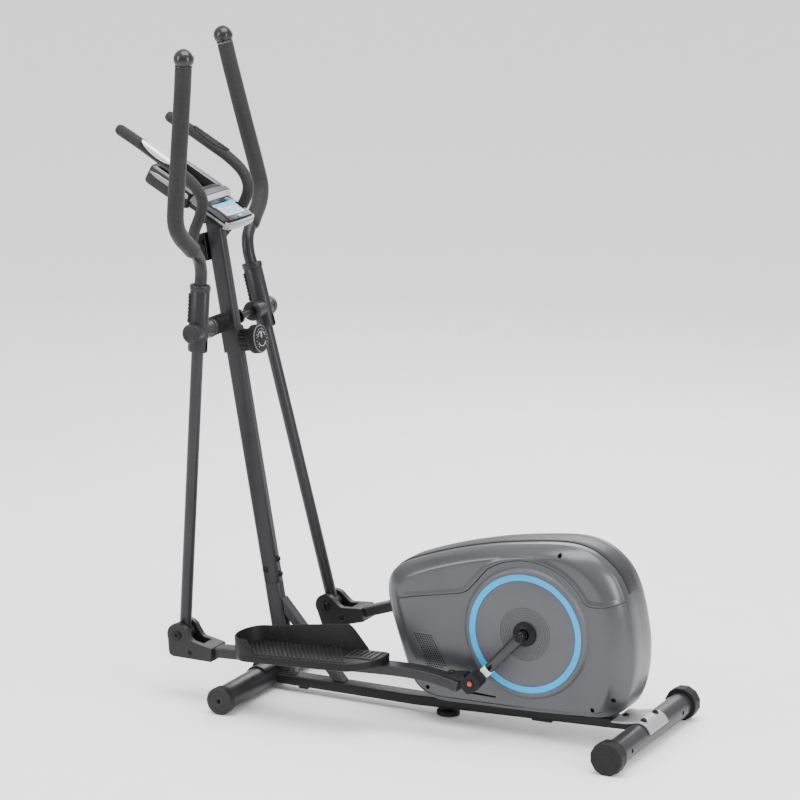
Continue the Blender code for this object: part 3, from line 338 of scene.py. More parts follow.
def carve(obj, tools):
    """Cuts meshes, drawn in the machine's frame, out of a piece and keeps the result as its mesh."""
    cutters = []
    for bm in tools:
        bmesh.ops.recalc_face_normals(bm, faces=bm.faces)
        bm.transform(MACHINE)
        mesh = bpy.data.meshes.new("cutter")
        bm.to_mesh(mesh)
        bm.free()
        cutter = bpy.data.objects.new("cutter", mesh)
        bpy.context.collection.objects.link(cutter)
        cutters.append(cutter)
        mod = obj.modifiers.new("cut", "BOOLEAN")
        mod.operation = "DIFFERENCE"
        mod.solver = "EXACT"
        mod.object = cutter
    graph = bpy.context.evaluated_depsgraph_get()
    result = bpy.data.meshes.new_from_object(obj.evaluated_get(graph))
    obj.modifiers.clear()
    obj.data = result
    for cutter in cutters:
        bpy.data.objects.remove(cutter, do_unlink=True)
    obj.data.shade_smooth()
    obj.data.set_sharp_from_angle(angle=math.radians(38))


def merged(parts):
    """Several bmeshes as one."""
    whole = bmesh.new()
    for bm in parts:
        mesh = bpy.data.meshes.new("part")
        bm.to_mesh(mesh)
        bm.free()
        whole.from_mesh(mesh)
        bpy.data.meshes.remove(mesh)
    return whole


def loft(rings, closed=False):
    """Skin between rings of equal length; closed joins the last to the first, else both ends are capped."""
    bm = bmesh.new()
    made = [[bm.verts.new(p) for p in ring] for ring in rings]
    count = len(made[0])
    spans = len(made) if closed else len(made) - 1
    for i in range(spans):
        low, high = made[i], made[(i + 1) % len(made)]
        for j in range(count):
            k = (j + 1) % count
            bm.faces.new((low[j], low[k], high[k], high[j]))
    if not closed:
        bm.faces.new(made[0][::-1])
        bm.faces.new(made[-1])
    return bm


def box(low, high):
    (x0, y0, z0), (x1, y1, z1) = low, high
    corners = [(x0, y0), (x1, y0), (x1, y1), (x0, y1)]
    return loft([[(x, y, z) for x, y in corners] for z in (z0, z1)])


def prism(outline, y0, y1):
    return loft([[(x, y, z) for x, z in outline] for y in (y0, y1)])


def turned(profile, centre=(0, 0, 0), axis="Y", steps=64):
    """An open profile of (radius, distance along the axis), turned; ends off the axis are capped flat."""
    turn = {"Y": Matrix.Rotation(math.radians(-90), 4, "X"), "Z": Matrix.Identity(4)}.get(axis, axis)
    rings = []
    for r, s in profile:
        ring = []
        for i in range(steps):
            a = 2 * math.pi * i / steps
            ring.append(turn @ Vector((r * math.cos(a), r * math.sin(a), s)) + Vector(centre))
        rings.append(ring)
    return loft(rings)


def ring_turned(profile, centre=(0, 0, 0), steps=96):
    """A closed profile of (radius, distance along Y), turned into a ring."""
    rings = []
    for i in range(steps):
        a = 2 * math.pi * i / steps
        rings.append([Vector((r * math.cos(a), s, r * math.sin(a))) + Vector(centre) for r, s in profile])
    return loft(rings, closed=True)


def rod(radius, y0, y1, x=0.0, z=0.0, sides=48, edge=0.0006):
    """A cylinder along Y with a small round-over at both ends."""
    way = 1 if y1 > y0 else -1
    profile = [(radius - edge, y0), (radius, y0 + way * edge), (radius, y1 - way * edge), (radius - edge, y1)]
    return turned(profile, (x, 0, z), steps=sides)


def circle(radius, sides=48, radius_y=None):
    radius_y = radius if radius_y is None else radius_y
    turns = [2 * math.pi * i / sides for i in range(sides)]
    return [(radius * math.cos(a), radius_y * math.sin(a)) for a in turns]


def rounded_rectangle(width, depth, corner, steps=6):
    points = []
    for qx, qy, start in ((1, 1, 0), (-1, 1, 90), (-1, -1, 180), (1, -1, 270)):
        for i in range(steps + 1):
            a = math.radians(start + 90 * i / steps)
            x = qx * (width / 2 - corner) + corner * math.cos(a)
            y = qy * (depth / 2 - corner) + corner * math.sin(a)
            points.append((x, y))
    return points


def frames_along(points, side=Vector((0, 1, 0))):
    """Section axes at each point of a route, carried along it without twist."""
    out = []
    across = side
    for i, p in enumerate(points):
        ahead = (points[min(i + 1, len(points) - 1)] - points[max(i - 1, 0)]).normalized()
        across = (across - ahead * across.dot(ahead)).normalized()
        out.append((p, across.cross(ahead), across))
    return out


def sweep(points, section, side=Vector((0, 1, 0)), grow=None):
    """A section carried along a route; grow scales it at each point."""
    points = [Vector(p) for p in points]
    grow = grow or [1.0] * len(points)
    rings = []
    for (p, u, v), k in zip(frames_along(points, side), grow):
        rings.append([p + u * a * k + v * b * k for a, b in section])
    return loft(rings)


def smooth_route(points, count, closed=False):
    """Points along the smooth curve through a few given ones."""
    pts = [Vector(p) for p in points]
    if closed:
        pts = [pts[-1]] + pts + [pts[0], pts[1]]
    else:
        pts = [2 * pts[0] - pts[1]] + pts + [2 * pts[-1] - pts[-2]]
    spans = len(pts) - 3
    out = []
    for i in range(count):
        t = spans * i / (count if closed else count - 1)
        k = min(int(t), spans - 1)
        t -= k
        a, b, c, d = pts[k : k + 4]
        out.append(
            0.5 * (2 * b + (c - a) * t + (2 * a - 5 * b + 4 * c - d) * t**2 + (3 * b - a - 3 * c + d) * t**3)
        )
    return out


def arc(cx, cz, radius, start, end, steps):
    turns = [math.radians(start + (end - start) * i / steps) for i in range(steps + 1)]
    return [(cx + radius * math.cos(a), cz + radius * math.sin(a)) for a in turns]


def capsule(p, rp, q, rq, steps=18):
    lie = math.degrees(math.atan2(q[1] - p[1], q[0] - p[0]))
    return arc(p[0], p[1], rp, lie + 90, lie + 270, steps) + arc(q[0], q[1], rq, lie - 90, lie + 90, steps)


def aim(place, direction):
    """A matrix that puts local Z along direction at place."""
    return Matrix.Translation(place) @ Vector(direction).to_track_quat("Z", "Y").to_matrix().to_4x4()


def bolt(place, direction, radius=0.006, height=0.0042, washer=1.45):
    """A domed bolt head with a hexagon socket on a washer, its top along direction."""
    ring = [(radius * washer, 0.0), (radius * washer, 0.0009), (radius * washer - 0.0003, 0.0012),
            (radius, 0.0012)]
    dome = [(radius, 0.0018)]
    for i in range(1, 6):
        a = math.radians(15 * i)
        dome.append((radius * (0.42 + 0.58 * math.cos(a)), 0.0018 + (height - 0.0018) * math.sin(a)))
    rim = radius * 0.50
    rings = []
    for r, s in ring + dome:
        rings.append([(r * math.cos(a), r * math.sin(a), s) for a in [math.pi * i / 12 for i in range(24)]])
    hexagon = []
    for i in range(24):
        a = math.pi * i / 12
        flat = math.cos(math.pi / 6) / math.cos((a % (math.pi / 3)) - math.pi / 6)
        hexagon.append((rim * flat * math.cos(a), rim * flat * math.sin(a)))
    rings.append([(x, y, height) for x, y in hexagon])
    rings.append([(x, y, height * 0.45) for x, y in hexagon])
    bm = loft(rings)
    bm.transform(aim(place, direction))
    return bm


def hex_nut(place, direction, radius=0.0075, height=0.006):
    """A hexagon nut with a thread end."""
    hexagon = [(radius * math.cos(math.pi * i / 3), radius * math.sin(math.pi * i / 3)) for i in range(6)]
    bm = loft([[(x * k, y * k, s) for x, y in hexagon]
               for s, k in ((0, 1), (height - 0.0008, 1), (height, 0.93))])
    thread = loft([[(x, y, s) for x, y in circle(radius * 0.5, 20)] for s in (0.0, height + 0.0025)])
    both = merged([bm, thread])
    both.transform(aim(place, direction))
    return both


# ---------------------------------------------------------------- base frame

RAIL_FRONT_X, RAIL_BEND_X, RAIL_REAR_X = -0.3376, 0.03, 0.583
RAIL_LEVEL, RAIL_RISE, RAIL_HEIGHT, RAIL_WIDTH = 0.0285, 0.038, 0.024, 0.044
FRONT_FOOT = joint_place("front_left_wheel_roll") - SHIFT
REAR_FOOT = joint_place("rear_left_cap_turn") - SHIFT
MIDDLE_FOOT = joint_place("middle_foot_turn") - SHIFT
TUBE_RADIUS = 0.0295
FRONT_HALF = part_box("front_wheel_right")[1].y
REAR_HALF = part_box("rear_leveling_cap_right")[1].y


def rail_middle(x):
    return RAIL_LEVEL + max(0.0, x - RAIL_BEND_X) * RAIL_RISE


def make_rail():
    places = [RAIL_FRONT_X, RAIL_BEND_X - 0.02, RAIL_BEND_X, RAIL_BEND_X + 0.02, RAIL_REAR_X]
    route = [Vector((x, 0, rail_middle(x))) for x in places]
    section = rounded_rectangle(RAIL_HEIGHT, RAIL_WIDTH, 0.0042)
    rail = piece("rail_tube", "frame", "black_paint", sweep(route, section), ["base_rail"])
    hole = turned([(0.009, 0.030), (0.009, 0.060)], (0.160, 0, 0), "Z", 32)
    carve(rail, [hole])
    lugs = []
    for x0, x1, side in ((-0.283, -0.252, -1), (0.330, 0.388, -1), (0.330, 0.388, 1)):
        low = rail_middle((x0 + x1) / 2) - RAIL_HEIGHT / 2
        outline = [(x0, low + 0.001), (x0 + 0.005, low - 0.005), (x1 - 0.005, low - 0.005), (x1, low + 0.001)]
        lugs.append(prism(outline, side * 0.006, side * 0.0185))
    piece("rail_lugs", "frame", "black_paint", merged(lugs), bevel=0.0008)


def make_front_foot():
    x, z = FRONT_FOOT.x, FRONT_FOOT.z
    half = FRONT_HALF - 0.0240
    piece("front_tube", "frame", "satin_charcoal", rod(TUBE_RADIUS, -half, half, x, z, 72),
          ["front_stabilizer"])
    inner, outer = TUBE_RADIUS + 0.0006, TUBE_RADIUS + 0.0045
    wrap = arc(x, z, inner, 44, 200, 30) + arc(x, z, outer, 200, 44, 30)
    piece("front_saddle_plate", "frame", "satin_charcoal", prism(wrap, -0.065, 0.065), ["front_saddle"],
          bevel=0.0012)
    heads = []
    for y in (-0.045, 0.045):
        lie = math.radians(118)
        out = Vector((math.cos(lie), 0, math.sin(lie)))
        heads.append(bolt(Vector((x, y, z)) + out * (outer - 0.0004), out, 0.0068, 0.0055, 1.3))
    piece("front_saddle_bolts", "frame", "black_oxide", merged(heads))
    wheel_radius = FRONT_FOOT.z
    for side_name, side in SIDES:
        start = half + 0.0006
        face = FRONT_HALF
        profile = [
            (0.010, start),
            (wheel_radius - 0.002, start),
            (wheel_radius, start + 0.002),
            (wheel_radius, start + 0.0085),
            (wheel_radius - 0.0008, start + 0.0092),
            (wheel_radius - 0.0008, start + 0.0104),
            (wheel_radius, start + 0.0111),
            (wheel_radius, face - 0.0038),
            (wheel_radius - 0.0012, face - 0.0012),
            (wheel_radius - 0.0035, face),
            (wheel_radius - 0.0070, face),
            (wheel_radius - 0.0078, face - 0.0010),
            (0.0150, face - 0.0010),
            (0.0140, face),
            (0.0085, face),
            (0.0070, face - 0.0015),
            (0.0045, face - 0.0020),
            (0.0040, face - 0.0080),
        ]
        body = f"front_{side_name}_wheel"
        bm = turned([(r, side * s) for r, s in profile], (x, 0, z), steps=72)
        piece("transport_wheel_" + side_name, body, "moulded_dark", bm, ["front_wheel_" + side_name])


def make_rear_foot():
    x, z = REAR_FOOT.x, REAR_FOOT.z
    half = REAR_HALF - 0.0050
    tube = piece(
        "rear_tube", "frame", "satin_charcoal", rod(TUBE_RADIUS, -half, half, x, z, 72), ["rear_stabilizer"]
    )
    holes = []
    for y in (-0.150, 0.150):
        hole = loft([[(x + s, y + a, z + b) for a, b in circle(0.0055, 24)] for s in (0.018, 0.035)])
        holes.append(hole)
    carve(tube, holes)

    inner = TUBE_RADIUS + 0.0005
    lip = 0.548
    top = rail_middle(RAIL_REAR_X) + RAIL_HEIGHT / 2
    lip_top = rail_middle(lip) + RAIL_HEIGHT / 2
    hook = arc(x, z, inner, 15, 112, 24) + [(RAIL_REAR_X, top + 0.0006), (lip, lip_top + 0.0003)]
    hook += [(lip, lip_top + 0.0045), (0.576, lip_top + 0.0062), (0.590, 0.0690)]
    hook += arc(x, z, inner + 0.0045, 106, 15, 24)
    piece("rear_saddle_plate", "frame", "saddle_grey", prism(hook, -0.052, 0.052), ["rear_saddle"],
          bevel=0.0012)
    heads = []
    for y in (-0.034, 0.034):
        lie = math.radians(78)
        out = Vector((math.cos(lie), 0, math.sin(lie)))
        heads.append(bolt(Vector((x, y, z)) + out * (inner + 0.0042), out, 0.0065, 0.0055, 1.35))
    heads.append(bolt((0.563, 0, lip_top + 0.0050), (0, 0, 1), 0.0062, 0.0050, 1.4))
    piece("rear_saddle_bolts", "frame", "black_oxide", merged(heads))

    sides = 12
    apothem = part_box("rear_leveling_cap_left")[1].z / 2
    for side_name, side in SIDES:
        steps = [
            (TUBE_RADIUS + 0.0012, REAR_HALF - 0.0330),
            (apothem - 0.0015, REAR_HALF - 0.0330),
            (apothem, REAR_HALF - 0.0312),
            (apothem, REAR_HALF - 0.0030),
            (apothem - 0.0020, REAR_HALF),
            (apothem - 0.0085, REAR_HALF),
            (apothem - 0.0100, REAR_HALF - 0.0020),
            (0.0120, REAR_HALF - 0.0020),
            (0.0105, REAR_HALF - 0.0008),
            (0.0030, REAR_HALF - 0.0008),
        ]
        rings = []
        for reach, y in steps:
            corner = reach / math.cos(math.pi / sides)
            turns = [math.pi * (2 * i + 1) / sides for i in range(sides)]
            rings.append([(x + corner * math.cos(a), side * y, apothem + corner * math.sin(a))
                          for a in turns])
        body = f"rear_{side_name}_cap"
        piece(
            "leveling_cap_" + side_name, body, "rubber_black", loft(rings),
            ["rear_leveling_cap_" + side_name],
            sharp=20, bevel=0.0009, bevel_angle=25,
        )


def make_middle_foot():
    x = MIDDLE_FOOT.x
    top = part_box("middle_foot")[1].z
    profile = [
        (0.0240, 0.0), (0.0262, 0.0006), (0.0275, 0.0022), (0.0275, 0.0060), (0.0268, 0.0066),
        (0.0268, 0.0074),
        (0.0275, 0.0080), (0.0275, 0.0093), (0.0262, 0.0112), (0.0240, 0.0120), (0.0125, 0.0122),
        (0.0110, 0.0130),
        (0.0110, top),
    ]
    bm = turned(profile, (x, 0, 0), "Z", 72)
    piece("levelling_foot_pad", "levelling_foot", "rubber_black", bm, ["middle_foot"])


# ---------------------------------------------------------------- mast

MAST_SPLIT, MAST_TOP, MAST_FOOT_Z = -0.641, 0.235, 0.0408


def make_mast():
    section = rounded_rectangle(0.042, 0.030, 0.009, 8)
    foot = (MAST_FOOT_Z - on_mast(0, 0).z) / math.cos(MAST_LEAN)
    post = sweep([on_mast(0, foot - 0.01), on_mast(0, MAST_SPLIT - 0.0022), on_mast(0, MAST_SPLIT - 0.0004)],
                 section, grow=[1, 1, 0.975])
    post = piece("mast_lower_tube", "frame", "satin_charcoal", post, ["mast_post"])
    carve(post, [box((-0.5, -0.1, -0.1), (-0.1, 0.1, MAST_FOOT_Z))])
    heights = [MAST_SPLIT + 0.0004, MAST_SPLIT + 0.0022, 0.10, MAST_TOP]
    upper = sweep([on_mast(0, up) for up in heights], section, grow=[0.975, 1, 1, 1])
    piece("mast_upper_tube", "frame", "satin_charcoal", upper, ["mast"])
    # a near-black band sunk in the split between the two tubes: painted shadow of the joint
    collar = sweep([on_mast(0, MAST_SPLIT - 0.001), on_mast(0, MAST_SPLIT + 0.001)], section,
                   grow=[0.955, 0.955])
    piece("mast_joint_shadow", "frame", "painted_shade", collar)

    heads = []
    for y, way in ((-0.0148, -1), (0.0148, 1)):
        heads.append(bolt(on_mast(0.009, MAST_SPLIT + 0.0335, y), (0, way, 0), 0.0056, 0.0050, 1.4))
    rear = on_mast(-1, 0) - on_mast(0, 0)
    for up in (0.0187, 0.0555):
        heads.append(bolt(on_mast(-0.0206, MAST_SPLIT + up), rear, 0.0066, 0.0064, 1.35))
    piece("mast_bolts", "frame", "black_oxide", merged(heads))

    bead = []
    for i in range(37):
        a = 2 * math.pi * i / 36
        r = 0.5 * 0.044 / max(abs(math.cos(a)), abs(math.sin(a)) * 0.044 / 0.031)
        bead.append(Vector((-0.3187 + r * math.cos(a), r * math.sin(a), 0.0415)))
    piece("mast_weld", "frame", "satin_charcoal", sweep(bead, circle(0.0022, 8), Vector((0, 0, 1))))


def make_shroud():
    inner = rounded_rectangle(0.0428, 0.0308, 0.0092)
    outer = rounded_rectangle(0.0475, 0.0355, 0.0040)
    low, high = SHROUD_UP - 0.030, SHROUD_UP + 0.029
    heights = [(low, 0.98), (low + 0.0010, 1.0), (high - 0.012, 1.0), (high - 0.002, 0.945), (high, 0.93)]
    rings = []
    for up, k in heights:
        p = on_mast(0, up)
        u = on_mast(1, up) - p
        rings.append([p + u * a * k + Vector((0, b * k, 0)) for a, b in outer])
    for up in (high, low):
        p = on_mast(0, up)
        u = on_mast(1, up) - p
        rings.append([p + u * a + Vector((0, b, 0)) for a, b in inner])
    piece("knob_shroud", "frame", "moulded_dark", loft(rings, closed=True), ["mast_shroud"])


def make_knob():
    """The tension knob, drawn along local X: ribbed neck, knurled disc, grey rim and a printed dial."""
    steps = 120

    def ring(radius, s, ribs=0, deep=0.0):
        points = []
        for i in range(steps):
            a = 2 * math.pi * i / steps
            wave = 0.5 + 0.5 * math.cos(ribs * a)
            r = radius - deep * (1 - min(1.0, wave * 1.6)) if ribs else radius
            points.append((s, r * math.cos(a), r * math.sin(a)))
        return points

    neck = [ring(0.0225, 0.0243), ring(0.0250, 0.0250), ring(0.0268, 0.0262, 10, 0.0036)]
    neck += [ring(0.0268, 0.0470, 10, 0.0036), ring(0.0240, 0.0495)]
    head = [ring(0.0320, 0.0522), ring(0.0338, 0.0532, 40, 0.0014)]
    head += [ring(0.0345, 0.0542, 40, 0.0016), ring(0.0345, 0.0702, 40, 0.0016),
             ring(0.0336, 0.0718, 40, 0.0008)]
    head += [ring(0.0322, 0.0722), ring(0.0318, 0.0738), ring(0.0300, 0.0750), ring(0.0280, 0.0754)]
    body = "resistance_knob"
    piece("knob_body", body, "moulded_black", loft(neck + head), ["tension_knob"])
    rim = [ring(0.0328, 0.0720), ring(0.0328, 0.0738), ring(0.0320, 0.0745), ring(0.0312, 0.0744),
           ring(0.0310, 0.0728)]
    piece("knob_rim", body, "band_grey", loft(rim, closed=True))

    marks = []
    for i in range(15):
        a = math.radians(225 - 270 * i / 14)
        lie = Matrix.Rotation(a, 4, "X")
        size = 0.0018 if i % 2 else 0.0030
        tick = box((0.0752, 0.0252 - size, -0.0004), (0.0757, 0.0252, 0.0004))
        tick.transform(lie)
        marks.append(tick)
    for radius, start, end in ((0.0175, 20, 160), (0.0175, 205, 330)):
        line = []
        for i in range(25):
            a = math.radians(start + (end - start) * i / 24)
            line.append(Vector((0.0754, radius * math.cos(a), radius * math.sin(a))))
        marks.append(sweep(line, [(-0.0003, -0.0005), (0.0003, -0.0005), (0.0003, 0.0005), (-0.0003, 0.0005)],
                           Vector((1, 0, 0))))
    pointer = box((0.0750, -0.0012, 0.0030), (0.0762, 0.0012, 0.0150))
    marks.append(pointer)
    piece("knob_marks", body, "label_white", merged(marks))


def make_pivot_shaft():
    """The dark shaft between the two arms, with the ribbed collar on the left of the mast."""
    x, z = (PIVOT - SHIFT).x, PIVOT.z
    shaft = rod(0.0095, -0.172, 0.172, x, z)
    piece("arm_shaft", "frame", "black_paint", shaft, ["pivot_shaft"])
    profile = [(0.0100, -0.0990), (0.0215, -0.0990), (0.0225, -0.0980)]
    for i in range(13):
        y = -0.0960 + i * 0.0042
        profile += [(0.0225, y), (0.0206, y + 0.0008), (0.0206, y + 0.0024), (0.0225, y + 0.0032)]
    profile += [(0.0225, -0.0410), (0.0215, -0.0400), (0.0100, -0.0400)]
    piece("shaft_collar_ribbed", "frame", "moulded_black", turned(profile, (x, 0, z), steps=72))
    ring = [(0.0100, 0.0300), (0.0165, 0.0300), (0.0175, 0.0310), (0.0175, 0.0390), (0.0165, 0.0400),
            (0.0100, 0.0400)]
    piece("shaft_ring", "frame", "moulded_black", turned(ring, (x, 0, z), steps=64))
    washer = [(0.0100, 0.0950), (0.0205, 0.0950), (0.0210, 0.0955), (0.0210, 0.0980), (0.0205, 0.0985),
              (0.0100, 0.0985)]
    piece("shaft_washer", "frame", "black_oxide", turned(washer, (x, 0, z), steps=64))


# ---------------------------------------------------------------- swinging arms

GRIP_START = 0.195


def handle_route(side, count):
    base = [(0.1535, 0.0565), (0.1530, 0.105)]
    bend = [(0.1530, 0.142), (0.1690, 0.178), (0.2115, 0.211), (0.2540, 0.242), (0.2790, 0.276)]
    straight = [(0.2830, 0.325), (0.2785, 0.440), (0.2745, 0.570), (0.2740, 0.636)]
    return smooth_route([(0, side * out, up) for out, up in base + bend + straight], count)


def make_sleeve(side_name, side):
    y = side * ARM_Y
    body = side_name + "_arm"
    count = 64

    def oval(z, k=1.0):
        return [(a, y + b, z) for a, b in circle(0.0243 * k, count, 0.0190 * k)]

    def hole(radius, z):
        return [(a, y + b, z) for a, b in circle(radius, count)]

    rings = [hole(0.0151, -0.0280), hole(0.0151, -0.0470), oval(-0.0480, 0.90), oval(-0.0474, 0.95)]
    rings += [oval(-0.0450, 0.985), oval(-0.0420), oval(0.0960), oval(0.0966, 0.985), oval(0.0978, 0.985)]
    rings += [oval(0.0984, 1.04), oval(0.0995, 1.06), oval(0.1085, 1.06), oval(0.1110, 1.03),
              oval(0.1120, 0.97)]
    rings += [hole(0.0158, 0.1120), hole(0.0152, 0.1105), hole(0.0152, 0.0560)]
    cross = turned(
        [(0.0108, side * 0.0998), (0.0215, side * 0.0998), (0.0225, side * 0.1008), (0.0225, side * 0.1740),
         (0.0215, side * 0.1750), (0.0108, side * 0.1750)],
        steps=72,
    )
    piece("sleeve_" + side_name, body, "satin_charcoal", merged([loft(rings), cross]),
          ["arm_sleeve_" + side_name])
    collar = ring_turned([(0.0226, side * 0.1030), (0.0240, side * 0.1038), (0.0240, side * 0.1085),
                          (0.0226, side * 0.1093)])
    piece("sleeve_band_" + side_name, body, "moulded_dark", collar)

    plate_rings = []
    for i in range(33):
        z = 0.020 + 0.070 * i / 32
        deep = 0.0026 if i % 4 in (1, 2) and 3 < i < 30 else 0.0042
        outer, inner = [], []
        for j in range(17):
            a = math.radians(128 + 104 * j / 16)
            lift = deep if 1 < j < 15 else 0.0036
            lift = 0.0004 if j in (0, 16) or i in (0, 32) else lift
            outer.append(((0.0243 + lift) * math.cos(a), y + (0.0190 + lift) * math.sin(a), z))
            inner.append((0.0235 * math.cos(a), y + 0.0182 * math.sin(a), z))
        plate_rings.append(outer + inner[::-1])
    piece("sleeve_cover_" + side_name, body, "moulded_black", loft(plate_rings), sharp=30)
    # a near-black strip laid on the sleeve stands for the shaded inside of its slot: painted shade
    slot = [(a, y + b) for a, b in arc(0, 0, 1.0, -14, 14, 6)]
    slot_rings = []
    for z in (-0.0440, -0.0200):
        ring = []
        for a, b in slot:
            ring.append((0.0247 * a, y + 0.0193 * (b - y), z))
        ring += [(0.0225 * a, y + 0.0170 * (b - y), z) for a, b in slot[::-1]]
        slot_rings.append(ring)
    piece("sleeve_slot_shade_" + side_name, body, "painted_shade", loft(slot_rings), bevel=0.0006)

    cap = [(0.0150, 0.1757), (0.0225, 0.1757), (0.0235, 0.1767), (0.0235, 0.1865), (0.0229, 0.1885)]
    cap += [(0.0216, 0.1900), (0.0200, 0.1908), (0.0160, 0.1910), (0.0152, 0.1904), (0.0060, 0.1902)]
    bm = turned([(r, side * s) for r, s in cap], steps=72)
    piece("pivot_cover_" + side_name, body, "moulded_dark", bm, ["pivot_cap_" + side_name])


def make_lower_tube(side_name, side):
    y = side * ARM_Y
    tube = loft([[(a * k, y + b * k, z) for a, b in circle(0.0143)] for z, k in
                 ((-0.0290, 1.0), (-ARM_LENGTH + 0.0130, 1.0), (-ARM_LENGTH + 0.0100, 0.96))])
    knuckle = rod(0.0175, side * 0.1375, side * 0.1695, 0, -ARM_LENGTH, 64, 0.0010)
    bm = merged([tube, knuckle])
    piece("link_tube_" + side_name, side_name + "_arm", "satin_charcoal", bm, ["lower_tube_" + side_name])


def make_handle(side_name, side):
    body = side_name + "_arm"
    route = handle_route(side, 150)
    across = Vector((1, 0, 0))
    tube = sweep([p for p in route if p.z < GRIP_START + 0.03], circle(0.0147), across)
    piece("handle_pipe_" + side_name, body, "satin_charcoal", tube, ["handle_tube_" + side_name])

    covered = [p for p in route if p.z > GRIP_START]
    grow = [1.0] * len(covered)
    for i, k in enumerate((0.80, 0.93, 0.985)):
        grow[i] = k
    grow[-1] = 0.97
    grip = sweep(covered, circle(0.0195, 56), across, grow)
    grip = piece("grip_sleeve_" + side_name, body, "foam_black", grip, ["foam_grip_" + side_name])

    end = route[-1] + Vector((0, 0, 0.0004))
    profile = [(0.0192, 0.0), (0.0202, 0.0006), (0.0206, 0.0020), (0.0200, 0.0032), (0.0200, 0.0040)]
    for i in range(22):
        a = math.radians(-38 + 126 * i / 21)
        profile.append((0.0235 * math.cos(a), 0.0188 + 0.0235 * math.sin(a)))
    bm = turned(profile, end, "Z", 64)
    piece("ball_end_" + side_name, body, "gloss_cap", bm, ["ball_cap_" + side_name])


def make_arms():
    for side_name, side in SIDES:
        make_sleeve(side_name, side)
        make_lower_tube(side_name, side)
        make_handle(side_name, side)


# ---------------------------------------------------------------- pedal arms

PEDAL_INNER, PEDAL_OUTER = 0.1315, 0.258
PEDAL_TOE, PEDAL_HEEL, TOE_ROUND = 0.174, 0.543, 0.045
PEDAL_BASE, PEDAL_FLOOR = 0.0125, 0.0315


def tube_height(x):
    return -0.0390 + math.tan(PEDAL_SLOPE) * x


def on_slope(x, height, y):
    """A point over the pedal arm: x along it, height square to the straight tube's middle."""
    lean = math.sin(PEDAL_SLOPE) * height
    return Vector((x - lean, y, tube_height(x) + math.cos(PEDAL_SLOPE) * height))


def pedal_plan(side, inset=0.0):
    inner, outer = PEDAL_INNER + inset, PEDAL_OUTER - inset
    middle, half = (inner + outer) / 2, (outer - inner) / 2
    toe, heel = PEDAL_TOE + inset, PEDAL_HEEL - inset
    rim = []
    for i in range(25):
        a = math.pi * i / 24
        rim.append((toe + TOE_ROUND * (1 - math.sin(a)), middle - half * math.cos(a)))
    corner = smooth_route(
        [(heel - 0.075, outer, 0), (heel - 0.048, outer - 0.006, 0), (heel - 0.018, outer - 0.036, 0),
         (heel - 0.002, outer - 0.070, 0)], 10
    )
    rim += [(p.x, p.y) for p in corner]
    rim += [(heel, outer - 0.080), (heel, inner + 0.012), (heel - 0.004, inner + 0.004),
            (heel - 0.012, inner)]
    return [(x, side * y) for x, y in rim]


def clipped(plan, start, direction):
    """Where the line through start crosses the plan: the first and last place along it."""
    hits = []
    for (x0, y0), (x1, y1) in zip(plan, plan[1:] + plan[:1]):
        ex, ey = x1 - x0, y1 - y0
        bottom = direction[0] * ey - direction[1] * ex
        if abs(bottom) < 1e-9:
            continue
        t = ((x0 - start[0]) * ey - (y0 - start[1]) * ex) / bottom
        u = ((x0 - start[0]) * direction[1] - (y0 - start[1]) * direction[0]) / bottom
        if 0 <= u < 1:
            hits.append(t)
    if len(hits) < 2:
        return None
    return min(hits), max(hits)


